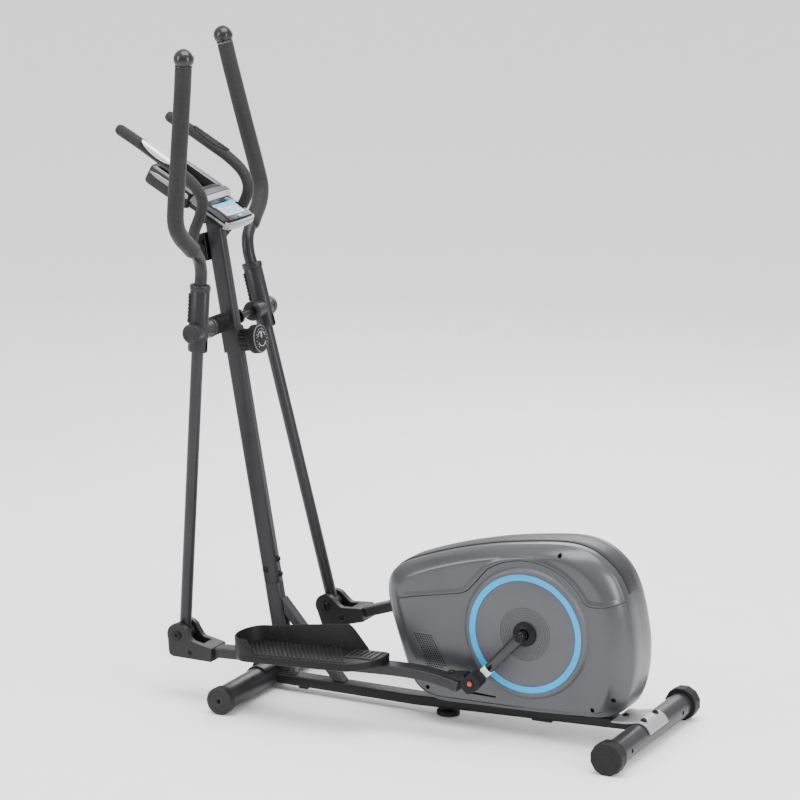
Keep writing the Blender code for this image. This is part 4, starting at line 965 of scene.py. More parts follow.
def make_pedal(side_name, side):
    body = side_name + "_pedal"
    floor = PEDAL_FLOOR
    levels = [(PEDAL_BASE, 0.0035), (PEDAL_BASE + 0.0015, 0.0012), (floor - 0.004, 0.0),
              (floor - 0.001, 0.0006),
              (floor, 0.0022)]
    pan = loft([[on_slope(x, h, y) for x, y in pedal_plan(side, inset)] for h, inset in levels])
    piece("pedal_pan_" + side_name, body, "moulded_black", pan, ["pedal_" + side_name], sharp=50)

    plan = pedal_plan(side, 0.0085)
    bars = []
    lean = math.radians(32)
    direction = (math.sin(lean), side * math.cos(lean))
    for i in range(32):
        start = (PEDAL_TOE - 0.040 + 0.0118 * i, side * PEDAL_INNER)
        found = clipped(plan, start, direction)
        if not found or found[1] - found[0] < 0.012:
            continue
        line = [(start[0] + direction[0] * t, start[1] + direction[1] * t) for t in found]
        if line[0][0] > PEDAL_HEEL - 0.098 or line[1][0] > PEDAL_HEEL - 0.060:
            continue
        wide = (direction[1] * side * 0.0030, -direction[0] * side * 0.0030)
        rings = []
        for h, k in ((floor - 0.0005, 1.35), (floor + 0.0009, 1.0), (floor + 0.0017, 0.6)):
            (ax, ay), (bx, by) = line
            corners = [(ax - wide[0] * k, ay - wide[1] * k), (ax + wide[0] * k, ay + wide[1] * k),
                       (bx + wide[0] * k, by + wide[1] * k), (bx - wide[0] * k, by - wide[1] * k)]
            rings.append([on_slope(px, h, py) for px, py in corners])
        bars.append(loft(rings))
    piece("pedal_ribs_" + side_name, body, "moulded_black", merged(bars))

    pad_x = (PEDAL_HEEL - 0.088, PEDAL_HEEL - 0.014)
    pad_y = (PEDAL_INNER + 0.010, PEDAL_OUTER - 0.050)
    rings = []
    for h, inset in ((floor - 0.001, 0.0), (floor + 0.0022, 0.0004), (floor + 0.0032, 0.0018)):
        x0, x1 = pad_x[0] + inset, pad_x[1] - inset
        y0, y1 = pad_y[0] + inset, pad_y[1] - inset
        middle = ((x0 + x1) / 2, (y0 + y1) / 2)
        shape = rounded_rectangle(x1 - x0, y1 - y0, 0.008)
        rings.append([on_slope(middle[0] + a, h, side * (middle[1] + b)) for a, b in shape])
    piece("heel_pad_" + side_name, body, "moulded_dark", loft(rings))
    # near-black strips across the heel pad stand for the shade in its grooves: painted shade
    slots = []
    for i in range(5):
        x = pad_x[0] + 0.012 + i * 0.0125
        rings = []
        for h in (floor + 0.0020, floor + 0.0036):
            shape = rounded_rectangle(0.0030, pad_y[1] - pad_y[0] - 0.020, 0.0014, 3)
            rings.append([on_slope(x + a, h, side * ((pad_y[0] + pad_y[1]) / 2 + b)) for a, b in shape])
        slots.append(loft(rings))
    piece("heel_slot_shade_" + side_name, body, "painted_shade", merged(slots))
    make_pedal_wall(side_name, side)


def make_pedal_wall(side_name, side):
    """The upright wall: tall beside the shaft side, lower round the toe, sloping away on the outside."""
    inner, outer = PEDAL_INNER, PEDAL_OUTER
    middle, half = (inner + outer) / 2, (outer - inner) / 2
    plan = [(0.484, inner, 0.003), (0.466, inner, 0.026), (0.440, inner, 0.056), (0.420, inner, 0.0575)]
    plan += [(0.360, inner, 0.0520), (0.300, inner, 0.0460), (0.245, inner, 0.0390)]
    for i in range(0, 13):
        a = math.pi * i / 12
        plan.append((PEDAL_TOE + TOE_ROUND * (1 - math.sin(a)), middle - half * math.cos(a),
                     0.0375 - 0.0015 * i / 12))
    plan += [(0.226, outer, 0.0352), (0.236, outer, 0.0240), (0.246, outer, 0.0100), (0.254, outer, 0.0020)]
    route = smooth_route(plan, 110)
    rings = []
    for i, p in enumerate(route):
        ahead = route[min(i + 1, len(route) - 1)] - route[max(i - 1, 0)]
        run = Vector((ahead.x, ahead.y)).normalized()
        inward = Vector((-run.y, run.x)) * -1
        if inward.dot(Vector((0.330 - p.x, middle - p.y))) < 0:
            inward = -inward
        top = max(0.002, p.z)
        flare = 0.0035 * top / 0.057
        thick = 0.0042
        shape = [(0.0, -0.0020), (0.0, top - 0.0016), (0.0005, top - 0.0005), (0.0016, top)]
        shape += [(thick - 0.0016, top), (thick - 0.0005, top - 0.0005), (thick, top - 0.0016),
                  (thick + flare, -0.0020)]
        ring = []
        for into, up in shape:
            px, py = p.x + inward.x * into, p.y + inward.y * into
            ring.append(on_slope(px, PEDAL_FLOOR + up, side * py))
        rings.append(ring)
    piece("pedal_wall_" + side_name, side_name + "_pedal", "moulded_black", loft(rings), sharp=45)


def make_pedal_arm(side_name, side):
    body = side_name + "_pedal"
    points = [(0.0920, tube_height(0.0920)), (0.210, tube_height(0.210)), (0.330, tube_height(0.330))]
    points += [(0.450, tube_height(0.450)), (0.545, tube_height(0.545)), (0.585, -0.0104), (0.618, -0.0106)]
    points += [(0.652, -0.0128), (0.690, -0.0180), (0.7285, -0.0258)]
    route = smooth_route([(x, side * ARM_Y, z) for x, z in points], 70)
    tube = sweep(route, rounded_rectangle(0.0240, 0.0440, 0.0040))
    piece("pedal_beam_" + side_name, body, "satin_charcoal", tube, ["pedal_arm_" + side_name])

    supports = []
    for x in (0.265, 0.440):
        for y0, y1 in ((0.1315, 0.1350), (0.1760, 0.2300)):
            low = [on_slope(x - 0.016, -0.004, 0), on_slope(x + 0.016, -0.004, 0)]
            high = [on_slope(x + 0.022, PEDAL_BASE + 0.001, 0), on_slope(x - 0.022, PEDAL_BASE + 0.001, 0)]
            if y1 > 0.2:
                low = [on_slope(x - 0.020, PEDAL_BASE - 0.004, 0), on_slope(x + 0.020, PEDAL_BASE - 0.004, 0)]
            supports.append(prism([(p.x, p.z) for p in low + high], side * y0, side * y1))
    piece("pedal_supports_" + side_name, body, "black_paint", merged(supports), bevel=0.0008)
    heads = []
    for x in (0.265, 0.440):
        p = on_slope(x, -0.012, side * ARM_Y)
        down = on_slope(x, -1, 0) - on_slope(x, 0, 0)
        heads.append(bolt(p, down, 0.0060, 0.0046, 1.5))
    piece("pedal_bolts_" + side_name, body, "black_oxide", merged(heads))


def make_pedal_bracket(side_name, side):
    body = side_name + "_pedal"
    near, far = side * 0.1190, side * 0.1880
    ear = arc(-0.0030, 0.0005, 0.0275, 200, 20, 40)
    shape = [(0.0310, -0.0020), (0.0345, -0.0070), (0.0400, -0.0110), (0.0880, -0.0205), (0.0905, -0.0225)]
    shape += [(0.0910, -0.0520), (0.0895, -0.0540), (-0.0150, -0.0535), (-0.0225, -0.0505),
              (-0.0262, -0.0450)]
    bm = prism(ear + shape, near, far)
    bracket = piece("bracket_" + side_name, body, "moulded_dark", bm, ["pedal_bracket_" + side_name])
    swing = [(-0.0290, 0.0340), (-0.0212, 0.0062), (-0.0212, -0.0200)]
    swing += [(0.0120, -0.0310), (0.0600, -0.0270), (0.0600, 0.0340)]
    tool = prism(swing, side * 0.1355, side * 0.1715)
    tool.transform(MACHINE.inverted() @ PLACE[body])
    holes = []
    for y0, y1 in ((0.1180, 0.1235), (0.1835, 0.1890)):
        hole = rod(0.0060, side * y0, side * y1, 0.0335, -0.0377, 32, 0.0)
        hole.transform(MACHINE.inverted() @ PLACE[body])
        holes.append(hole)
    carve(bracket, [tool] + holes)
    mod = bracket.modifiers.new("edge", "BEVEL")
    mod.width = 0.0016
    mod.segments = 3
    mod.limit_method = "ANGLE"
    mod.angle_limit = math.radians(50)
    mod.harden_normals = True

    boss = []
    for y0, y1 in ((0.1182, 0.1200), (0.1870, 0.1888)):
        boss.append(ring_turned([(0.0150, side * y0), (0.0222, side * y0), (0.0222, side * y1),
                                 (0.0150, side * y1)],
                                (-0.0015, 0, 0.0005), 64))
    piece("bracket_rings_" + side_name, body, "moulded_dark", merged(boss), bevel=0.0005)
    pin = [rod(0.0080, side * 0.1340, side * 0.1730, 0, 0, 40)]
    pin.append(bolt((-0.0015, side * 0.1878, 0.0005), (0, side, 0), 0.0095, 0.0052, 1.25))
    pin.append(bolt((-0.0015, side * 0.1192, 0.0005), (0, -side, 0), 0.0095, 0.0052, 1.25))
    piece("bracket_bolts_" + side_name, body, "black_oxide", merged(pin))


def make_joint_block(side_name, side):
    body = side_name + "_pedal"
    pin = crank_pin(0.0) - LOWER_PIVOT["left"]
    along = Vector((math.cos(LEFT_CRANK_ANGLE), math.sin(LEFT_CRANK_ANGLE)))
    across = Vector((-along.y, along.x))
    middle = Vector((pin.x, pin.z)) - along * 0.004
    corners = [(1, 0.62), (0.62, 1), (-0.62, 1), (-1, 0.62), (-1, -0.62), (-0.62, -1), (0.62, -1), (1, -0.62)]
    outline = [tuple(middle + along * a * 0.0235 + across * b * 0.0185) for a, b in corners]
    block = prism(outline, side * 0.1345, side * 0.1720)
    stub = rod(0.0090, side * 0.1292, side * 0.1400, pin.x, pin.z, 40)
    plate = prism([(0.690, -0.0058), (0.690, -0.0012), (0.742, 0.0056), (0.751, -0.0080), (0.7295, -0.0125)],
                  side * 0.1360, side * 0.1700)
    piece("crank_joint_" + side_name, body, "moulded_black", merged([block, stub, plate]),
          ["joint_block_" + side_name], bevel=0.0022)

    dot = turned([(0.0062, side * 0.1716), (0.0062, side * 0.1726), (0.0050, side * 0.1734),
                  (0.0020, side * 0.1738)],
                 (middle.x, 0, middle.y), steps=40)
    piece("joint_dot_" + side_name, body, "dot_red", dot)
    ring = ring_turned([(0.0064, side * 0.1715), (0.0105, side * 0.1715), (0.0100, side * 0.1733),
                        (0.0070, side * 0.1733)], (middle.x, 0, middle.y), 48)
    piece("joint_ring_" + side_name, body, "gloss_black", ring)

    heads = [bolt((0.7055, side * 0.1530, -0.0008), (-0.13, 0, 1), 0.0082, 0.0075, 1.2)]
    heads.append(hex_nut((0.7060, side * 0.1530, -0.0345), (0.13, 0, -1), 0.0078, 0.0060))
    heads.append(bolt((0.7330, side * 0.1690, 0.0000), (0, side, 0), 0.0040, 0.0030, 1.2))
    piece("joint_bolts_" + side_name, body, "black_oxide", merged(heads))


def make_pedal_sets():
    for side_name, side in SIDES:
        make_pedal_bracket(side_name, side)
        make_pedal_arm(side_name, side)
        make_pedal(side_name, side)
        make_joint_block(side_name, side)


# ---------------------------------------------------------------- cranks

CRANK_INNER, CRANK_OUTER = 0.1110, 0.1285


def make_cranks():
    for side_name, side in SIDES:
        turn = 0.0 if side_name == "left" else math.pi
        angle = LEFT_CRANK_ANGLE + turn
        way = Vector((math.cos(angle), math.sin(angle)))
        across = Vector((-way.y, way.x))
        end = way * CRANK_LENGTH
        levels = [(CRANK_INNER, 0.80), (CRANK_INNER + 0.0014, 0.92), (CRANK_INNER + 0.0040, 1.0),
                  (CRANK_OUTER - 0.0060, 1.0), (CRANK_OUTER - 0.0028, 0.90), (CRANK_OUTER - 0.0008, 0.72),
                  (CRANK_OUTER, 0.50)]
        rings = []
        for y, k in levels:
            rings.append([(x, side * y, z) for x, z in capsule((0, 0), 0.0130 * k, tuple(end), 0.0108 * k)])
        piece("crank_arm_" + side_name, "crank_set", "crank_gloss", loft(rings), ["crank_" + side_name],
              sharp=50)

        sleeve = []
        for s in (0.1175, 0.1345):
            p = way * s
            half = 0.0130 - 0.0022 * s / CRANK_LENGTH + 0.0006
            y0, y1 = CRANK_INNER - 0.0004, CRANK_OUTER + 0.0004
            shape = [(-half + 0.002, y0), (half - 0.002, y0), (half, y0 + 0.003), (half, y1 - 0.0055),
                     (half - 0.0035, y1), (-half + 0.0035, y1), (-half, y1 - 0.0055), (-half, y0 + 0.003)]
            sleeve.append([(p.x + across.x * a, side * y, p.y + across.y * a) for a, y in shape])
        piece("crank_label_" + side_name, "crank_set", "label_white", loft(sleeve), sharp=30)
        boss = turned([(0.0120, side * 0.1150), (0.0120, side * (CRANK_OUTER + 0.0008)),
                       (0.0108, side * (CRANK_OUTER + 0.0022)), (0.0068, side * (CRANK_OUTER + 0.0024)),
                       (0.0062, side * (CRANK_OUTER + 0.0008)), (0.0010, side * (CRANK_OUTER + 0.0008))],
                       steps=48)
        piece("crank_boss_" + side_name, "crank_set", "gloss_black", boss)


# ---------------------------------------------------------------- housing

SHELL_CENTRE = Vector((0.300, 0.260))
SHELL_OUTLINE = [
    (0.1230, 0.0550), (0.0780, 0.0650), (0.0435, 0.0910), (0.0225, 0.1390), (-0.0015, 0.2085),
    (-0.0180, 0.2645),
    (-0.0240, 0.3100), (-0.0150, 0.3435), (0.0095, 0.3665), (0.0590, 0.3890), (0.1500, 0.4195),
    (0.2500, 0.4440),
    (0.3500, 0.4600), (0.4200, 0.4670), (0.4690, 0.4635), (0.5125, 0.4465), (0.5535, 0.4115),
    (0.5785, 0.3640),
    (0.5960, 0.2950), (0.6045, 0.2260), (0.5990, 0.1540), (0.5790, 0.0975), (0.5480, 0.0745),
    (0.5000, 0.0700),
    (0.3700, 0.0625), (0.2310, 0.0585),
]
SHELL_PROFILE = [
    (0.0002, 0.0), (0.0330, 0.0), (0.0500, 0.05), (0.0560, 0.13), (0.0640, 0.27), (0.0720, 0.47),
    (0.0790, 0.70),
    (0.0845, 0.93), (0.0872, 1.12), (0.0880, 1.30),
]
SHELL_HALF = 0.088


def shell_ring(y, rounding, outline, shrink=1.0):
    ring = []
    for p in outline:
        along = 1 - 0.14 * rounding
        up = 1 - (0.12 if p.y > SHELL_CENTRE.y else 0.04) * rounding
        x = SHELL_CENTRE.x + (p.x - SHELL_CENTRE.x) * along * shrink
        z = SHELL_CENTRE.y + (p.y - SHELL_CENTRE.y) * up * shrink
        ring.append(Vector((x, y, z)))
    return ring


def on_flank(tree, x, z, side, proud=0.0):
    """The point of a shell's flank at (x, z), found from outside, moved out by proud."""
    start = Vector((x, side * 0.2, z))
    hit, _, _, _ = tree.ray_cast(start, Vector((0, -side, 0)))
    if hit is None:
        return None
    return hit + Vector((0, side * proud, 0))


def groove_lines():
    """The styling grooves of the flank, as points (x, z)."""
    front = smooth_route([(0.024, 0.2965, 0), (0.075, 0.3085, 0), (0.130, 0.3195, 0), (0.178, 0.3285, 0)], 22)
    centre = Vector((AXLE_DRAWN.x, AXLE_DRAWN.z))
    rise = smooth_route([(0.178, 0.3285, 0), (0.199, 0.3380, 0), (0.221, 0.3620, 0), (0.2500, 0.3960, 0)], 14)
    over = []
    for i in range(26):
        a = math.radians(122 - 74 * i / 25)
        over.append(Vector((centre.x + 0.1715 * math.cos(a), centre.y + 0.1715 * math.sin(a), 0)))
    down = smooth_route([tuple(over[-1]), (0.4830, 0.3620, 0), (0.4960, 0.3445, 0), (0.5150, 0.3400, 0),
                         (0.5500, 0.3440, 0), (0.5900, 0.3540, 0)], 24)
    lower = smooth_route([(0.050, 0.123, 0), (0.064, 0.098, 0), (0.088, 0.0815, 0), (0.125, 0.0735, 0),
                          (0.231, 0.0745, 0), (0.370, 0.0780, 0), (0.480, 0.0840, 0), (0.538, 0.0930, 0)], 40)
    line = front + rise[1:] + over[1:] + down[1:]
    return [[(p.x, p.y) for p in line], [(p.x, p.y) for p in lower]]


def vent_holes(tree, side):
    """Hexagonal holes that fill a slanted four-sided field."""
    corners = [Vector(c) for c in ((0.0577, 0.2198), (0.1095, 0.2246), (0.1536, 0.1436), (0.1019, 0.1313))]
    holes = []
    pitch = 0.0060
    for row in range(19):
        for column in range(20):
            x = 0.050 + pitch * (column + 0.5 * (row % 2))
            z = 0.128 + pitch * 0.866 * row
            inside = True
            point = Vector((x, z))
            for i in range(4):
                a, b = corners[i], corners[(i + 1) % 4]
                edge = b - a
                off = (edge.x * (point.y - a.y) - edge.y * (point.x - a.x)) / edge.length
                if off > -0.0030:
                    inside = False
            if not inside:
                continue
            here = on_flank(tree, x, z, side)
            if here is None:
                continue
            hexagon = [(x + 0.0021 * math.cos(math.pi * (i + 0.5) / 3),
                        z + 0.0021 * math.sin(math.pi * (i + 0.5) / 3))
                       for i in range(6)]
            holes.append(prism(hexagon, here.y + side * 0.002, here.y - side * 0.0060))
    return holes


def make_shells():
    outline = [Vector((p.x, p.y)) for p in smooth_route([(x, z, 0) for x, z in SHELL_OUTLINE], 156,
                                                        closed=True)]
    levels = [(p.x, p.y) for p in smooth_route([(y, k, 0) for y, k in SHELL_PROFILE], 40)]
    centre = Vector((AXLE_DRAWN.x, AXLE_DRAWN.z))
    for side_name, side in SIDES:
        rings = [shell_ring(side * y, k, outline) for y, k in levels]
        last = rings[-1]
        for t in (0.25, 0.5, 0.75, 1.0):
            ring = []
            for p in last:
                out = (Vector((p.x, p.z)) - centre).normalized()
                goal = centre + out * 0.150
                flat = Vector((p.x, p.z)).lerp(goal, t)
                ring.append(Vector((flat.x, side * SHELL_HALF, flat.y)))
            rings.append(ring)
        inner_levels = [(max(y - 0.003, 0.0002), k) for y, k in levels[::-1]]
        inner = [[Vector((p.x, side * (SHELL_HALF - 0.003), p.z)) for p in ring] for ring in rings[-1:]]
        inner += [shell_ring(side * y, k, outline, 0.988) for y, k in inner_levels]
        bm = loft(rings + inner, closed=True)
        shell = piece("shell_" + side_name, "frame", "shell_grey", bm, ["housing_" + side_name], sharp=42)

        tree = BVHTree.FromBMesh(loft(rings))
        cutters = []
        for line in groove_lines():
            route = []
            for x, z in line:
                here = on_flank(tree, x, z, side)
                if here is not None:
                    route.append(here)
            section = [(0.0017 * math.cos(math.pi * i / 4), 0.0017 * math.sin(math.pi * i / 4))
                       for i in range(8)]
            cutters.append(sweep(route, section, Vector((0, 1, 0))))
        cutters.append(merged(vent_holes(tree, side)))
        cutters.append(merged(shell_sockets(tree, side)))
        carve(shell, cutters)
        make_brow(side_name, side, tree)
        make_vent_frame(side_name, side, tree)
        make_shell_screws(side_name, side, tree)


SCREWS = ((0.428, 0.4480), (0.0994, 0.0905), (0.5169, 0.0960), (0.5640, 0.1230))


def shell_sockets(tree, side):
    holes = []
    for x, z in SCREWS:
        here = on_flank(tree, x, z, side)
        if here is not None:
            holes.append(rod(0.0052, here.y + side * 0.010, here.y - side * 0.0070, x, z, 32, 0.0))
    slot = prism([(0.207, 0.0905), (0.207, 0.0965), (0.274, 0.0935), (0.274, 0.0895)], side * 0.095,
                 side * 0.0845)
    holes.append(slot)
    return holes


def make_shell_screws(side_name, side, tree):
    heads = []
    for x, z in SCREWS:
        here = on_flank(tree, x, z, side)
        if here is not None:
            heads.append(bolt((x, here.y - side * 0.0068, z), (0, side, 0), 0.0040, 0.0030, 1.2))
    piece("shell_screws_" + side_name, "frame", "black_oxide", merged(heads))
    # near-black sheets just inside the shell, behind the hexagon holes and the slot: painted shade seen through
    # them
    shade_sheets = []
    shade_sheets.append(prism([(0.045, 0.120), (0.165, 0.120), (0.165, 0.236), (0.045, 0.236)], side * 0.0700,
                       side * 0.0720))
    shade_sheets.append(prism([(0.200, 0.086), (0.280, 0.086), (0.280, 0.100), (0.200, 0.100)], side * 0.0820,
                       side * 0.0840))
    piece("vent_shade_" + side_name, "frame", "painted_shade", merged(shade_sheets))


def make_brow(side_name, side, tree):
    """The step along the upper groove: the flank above it stands proud and blends back into the shell."""
    line = groove_lines()[0]
    profile = [(-0.0006, 0.0), (0.0, 0.0016), (0.0010, 0.0024), (0.0030, 0.0025), (0.0075, 0.0016),
               (0.0130, 0.0)]
    count = len(line)
    rings = []
    for i, (x, z) in enumerate(line):
        before, after = Vector(line[max(i - 1, 0)]), Vector(line[min(i + 1, count - 1)])
        run = (after - before).normalized()
        up = Vector((-run.y, run.x))
        fade = min(1.0, 0.15 + 0.2 * i, 0.15 + 0.2 * (count - 1 - i))
        top, base = [], []
        for out, height in profile:
            here = on_flank(tree, x + up.x * out, z + up.y * out, side)
            if here is None:
                break
            top.append(here + Vector((0, side * height * fade, 0)))
            base.append(here - Vector((0, side * 0.0008, 0)))
        if len(top) == len(profile):
            rings.append(top + base[::-1])
    piece("shell_brow_" + side_name, "frame", "shell_grey", loft(rings), sharp=50)


def make_vent_frame(side_name, side, tree):
    """A thin raised line round the perforated field."""
    corners = [(0.0545, 0.2222), (0.1110, 0.2274), (0.1568, 0.1428), (0.1018, 0.1288)]
    route = []
    for i in range(4):
        a, b = Vector(corners[i]), Vector(corners[(i + 1) % 4])
        for k in range(8):
            p = a.lerp(b, k / 8)
            here = on_flank(tree, p.x, p.y, side, 0.0)
            if here is not None:
                route.append(here)
    count = len(route)
    rings = []
    for i, p in enumerate(route):
        ahead = (route[(i + 1) % count] - route[i - 1]).normalized()
        out = Vector((0, side, 0))
        across = ahead.cross(out).normalized()
        rings.append([p + across * a + out * b
                      for a, b in ((-0.0011, -0.001), (-0.0006, 0.0006), (0.0006, 0.0006),
                                                           (0.0011, -0.001))])
    piece("vent_rim_" + side_name, "frame", "shell_grey", loft(rings, closed=True), sharp=60)


def make_spine():
    """The dark strip over the joint between the two shells, from the front of the top to the rear."""
    line = smooth_route([(x, z, 0) for x, z in SHELL_OUTLINE[7:18]], 90)
    count = len(line)
    rings = []
    for i, p in enumerate(line):
        ahead = (line[min(i + 1, count - 1)] - line[max(i - 1, 0)]).normalized()
        out = Vector((-ahead.y, ahead.x, 0))
        if out.dot(Vector((p.x - SHELL_CENTRE.x, p.y - SHELL_CENTRE.y, 0))) < 0:
            out = -out
        shape = [(-0.0320, -0.001), (-0.0316, 0.0016), (-0.0300, 0.0026)]
        shape += [(-0.0150, 0.0030), (0.0, 0.0032), (0.0150, 0.0030)]
        shape += [(0.0300, 0.0026), (0.0316, 0.0016), (0.0320, -0.001)]
        end = min(i, count - 1 - i)
        k = 1.0 if end > 2 else (0.25, 0.7, 0.93)[end]
        rings.append([(p.x + out.x * up * k, y, p.y + out.y * up * k) for y, up in shape])
    piece("spine_strip", "frame", "shell_dark", loft(rings), ["housing_spine"], sharp=45)


def make_side_discs():
    for side_name, side in SIDES:
        centre = AXLE_DRAWN
        rim = [(0.1560, 0.0875), (0.1545, 0.0896), (0.1530, 0.0925), (0.1505, 0.0952), (0.1475, 0.0968),
               (0.1445, 0.0974), (0.1422, 0.0970), (0.1410, 0.0960), (0.1407, 0.0948), (0.1252, 0.0944),
               (0.1246, 0.0952), (0.1235, 0.0956)]
        face = [(0.0640, 0.0956)]
        for i in range(8):
            r = 0.0628 - i * 0.0042
            face += [(r, 0.0956), (r - 0.0004, 0.0946), (r - 0.0014, 0.0946), (r - 0.0018, 0.0956)]
        profile = rim + face + [(0.0292, 0.0956), (0.0292, 0.0925)]
        profile += [(0.0292, 0.0890), (0.1560, 0.0868)]
        bm = ring_turned([(r, side * y) for r, y in profile], centre, 160)
        piece("disc_cover_" + side_name, "frame", "disc_grey", bm, ["side_disc_" + side_name], sharp=35)
        ring = [(0.1405, 0.0940), (0.1405, 0.0962), (0.1399, 0.0968), (0.1260, 0.0966), (0.1253, 0.0960),
                (0.1253, 0.0940)]
        bm = ring_turned([(r, side * y) for r, y in ring], centre, 160)
        piece("accent_ring_" + side_name, "frame", "accent_blue", bm)
        hub = [(0.0135, 0.0930), (0.0290, 0.0930), (0.0290, 0.0985), (0.0282, 0.0996), (0.0200, 0.1010),
               (0.0162, 0.1040), (0.0152, 0.1045), (0.0135, 0.1045)]
        bm = ring_turned([(r, side * y) for r, y in hub], centre, 96)
        piece("hub_cover_" + side_name, "frame", "hub_dark", bm)


# ---------------------------------------------------------------- console and handlebar

CONSOLE_REAR = Vector((-0.4345, 0.0, 1.118))
VISOR_HALF = 0.0735
BAR_RADIUS = 0.0135
SENSOR_TURN = 25.0


def on_console(s, n, y=0.0):
    """A point on the console: s forward up its slope from the rear edge, n square to it."""
    ahead = Vector((-math.cos(CONSOLE_TILT), 0, math.sin(CONSOLE_TILT)))
    normal = Vector((math.sin(CONSOLE_TILT), 0, math.cos(CONSOLE_TILT)))
    return CONSOLE_REAR + ahead * s + normal * n + Vector((0, y, 0))


def console_loft(sections):
    """Sections across the console, each (y, outline of (s, n))."""
    return loft([[on_console(s, n, y) for s, n in outline] for y, outline in sections])


def crowned(half, edge, heights, steps=24):
    """Half-widths and drops for a form that curves down and pulls in towards both sides."""
    out = []
    for i in range(steps + 1):
        u = -1 + 2 * i / steps
        out.append((half * u, heights * u * u, edge * max(0.0, abs(u) - 0.86) / 0.14))
    return out


def make_console():
    half = 0.066
    under = []
    for y, drop, pull in crowned(half, 0.0030, 0.0):
        under.append((y, [(0.0105, 0.0030), (0.0108, -0.0014), (0.0140, -0.0028), (0.1150 - pull, -0.0052),
                          (0.1165, 0.0020), (0.1165, 0.0150), (0.0105, 0.0120)]))
    piece("console_base", "frame", "moulded_black", console_loft(under), ["console_body"], sharp=40)

    sill = []
    for y, drop, pull in crowned(half + 0.0006, 0.0045, 0.0055):
        front = drop + pull
        sill.append((y, [(0.0012 + front, -0.0010 + 0.3 * pull), (-0.0010 + front, 0.0040),
                         (0.0000 + front, 0.0130),
                         (0.0026 + front, 0.0176 - 0.4 * drop), (0.0150, 0.0180 - 0.4 * drop),
                         (0.0150, -0.0016)]))
    piece("console_chin", "frame", "silver", console_loft(sill), sharp=35)

    for side_name, side in SIDES:
        strip = []
        for s, k in ((0.0125, 0.2), (0.0180, 1.0), (0.0900, 0.9), (0.1120, 0.3)):
            shape = [(-0.0005, -0.0030 * k), (0.0014, -0.0024 * k), (0.0014, 0.0024 * k),
                     (-0.0005, 0.0030 * k)]
            strip.append([on_console(s, 0.0085 + n, side * (half + y)) for y, n in shape])
        piece("console_stripe_" + side_name, "frame", "silver", loft(strip), sharp=30)

    bezel = []
    for y, drop, pull in crowned(0.0655, 0.0060, 0.0030):
        bezel.append((y, [(0.0070 + drop + pull, 0.0125), (0.0085 + drop + pull, 0.0205 - 0.6 * drop - pull),
                          (0.0110 + drop + pull, 0.0224 - 0.6 * drop - pull),
                          (0.0860, 0.0252 - 0.6 * drop - pull),
                          (0.0890, 0.0245 - 0.6 * drop - pull), (0.0890, 0.0125)]))
    piece("console_bezel", "frame", "gloss_black", console_loft(bezel), sharp=32)

    lip = []
    for y, drop, pull in crowned(VISOR_HALF - 0.0015, 0.0060, 0.0050):
        s = 0.0855 + drop * 0.5
        lip.append((y, [(s, 0.0180), (s, 0.0268 - drop - pull), (s + 0.0008, 0.0286 - drop - pull),
                        (s + 0.0052, 0.0382 - drop - pull), (s + 0.0072, 0.0392 - drop - pull),
                        (s + 0.0120, 0.0180)]))
    piece("console_lip", "frame", "pale_silver", console_loft(lip), sharp=32)
    band = []
    for y, drop, pull in crowned(VISOR_HALF, 0.0070, 0.0055):
        band.append((y, [(0.0930, 0.0120), (0.0915 + drop * 0.5, 0.0388 - drop - pull),
                         (0.0935 + drop * 0.5, 0.0410 - drop - pull), (0.1090, 0.0410 - drop - pull),
                         (0.1160, 0.0345 - drop - pull), (0.1170, 0.0120)]))
    piece("console_visor_band", "frame", "band_grey", console_loft(band), sharp=32)
    make_screen()
    make_tray()


def panel(name, finish, s0, s1, half, n0, n1, low, high, curve=0.0):
    """A thin slab on the console's face, following its slope and crown."""
    sections = []
    for i in range(17):
        u = -1 + i / 8
        bow = curve * u * u
        y = half * u
        sag = 0.0031 * u * u * (half / 0.0655) ** 2
        sections.append((y, [(s0 + bow, low + n0 - sag), (s1 + bow * 0.4, low + n1 - sag),
                             (s1 + bow * 0.4, high + n1 - sag), (s0 + bow, high + n0 - sag)]))
    return piece(name, "frame", finish, console_loft(sections), sharp=40)


def face_height(s, y):
    """The bezel's height at a place on it, a little sunk towards both sides."""
    return 0.0224 + (s - 0.0110) * 0.0028 / 0.0750 - 0.0036 * (y / 0.0655) ** 2


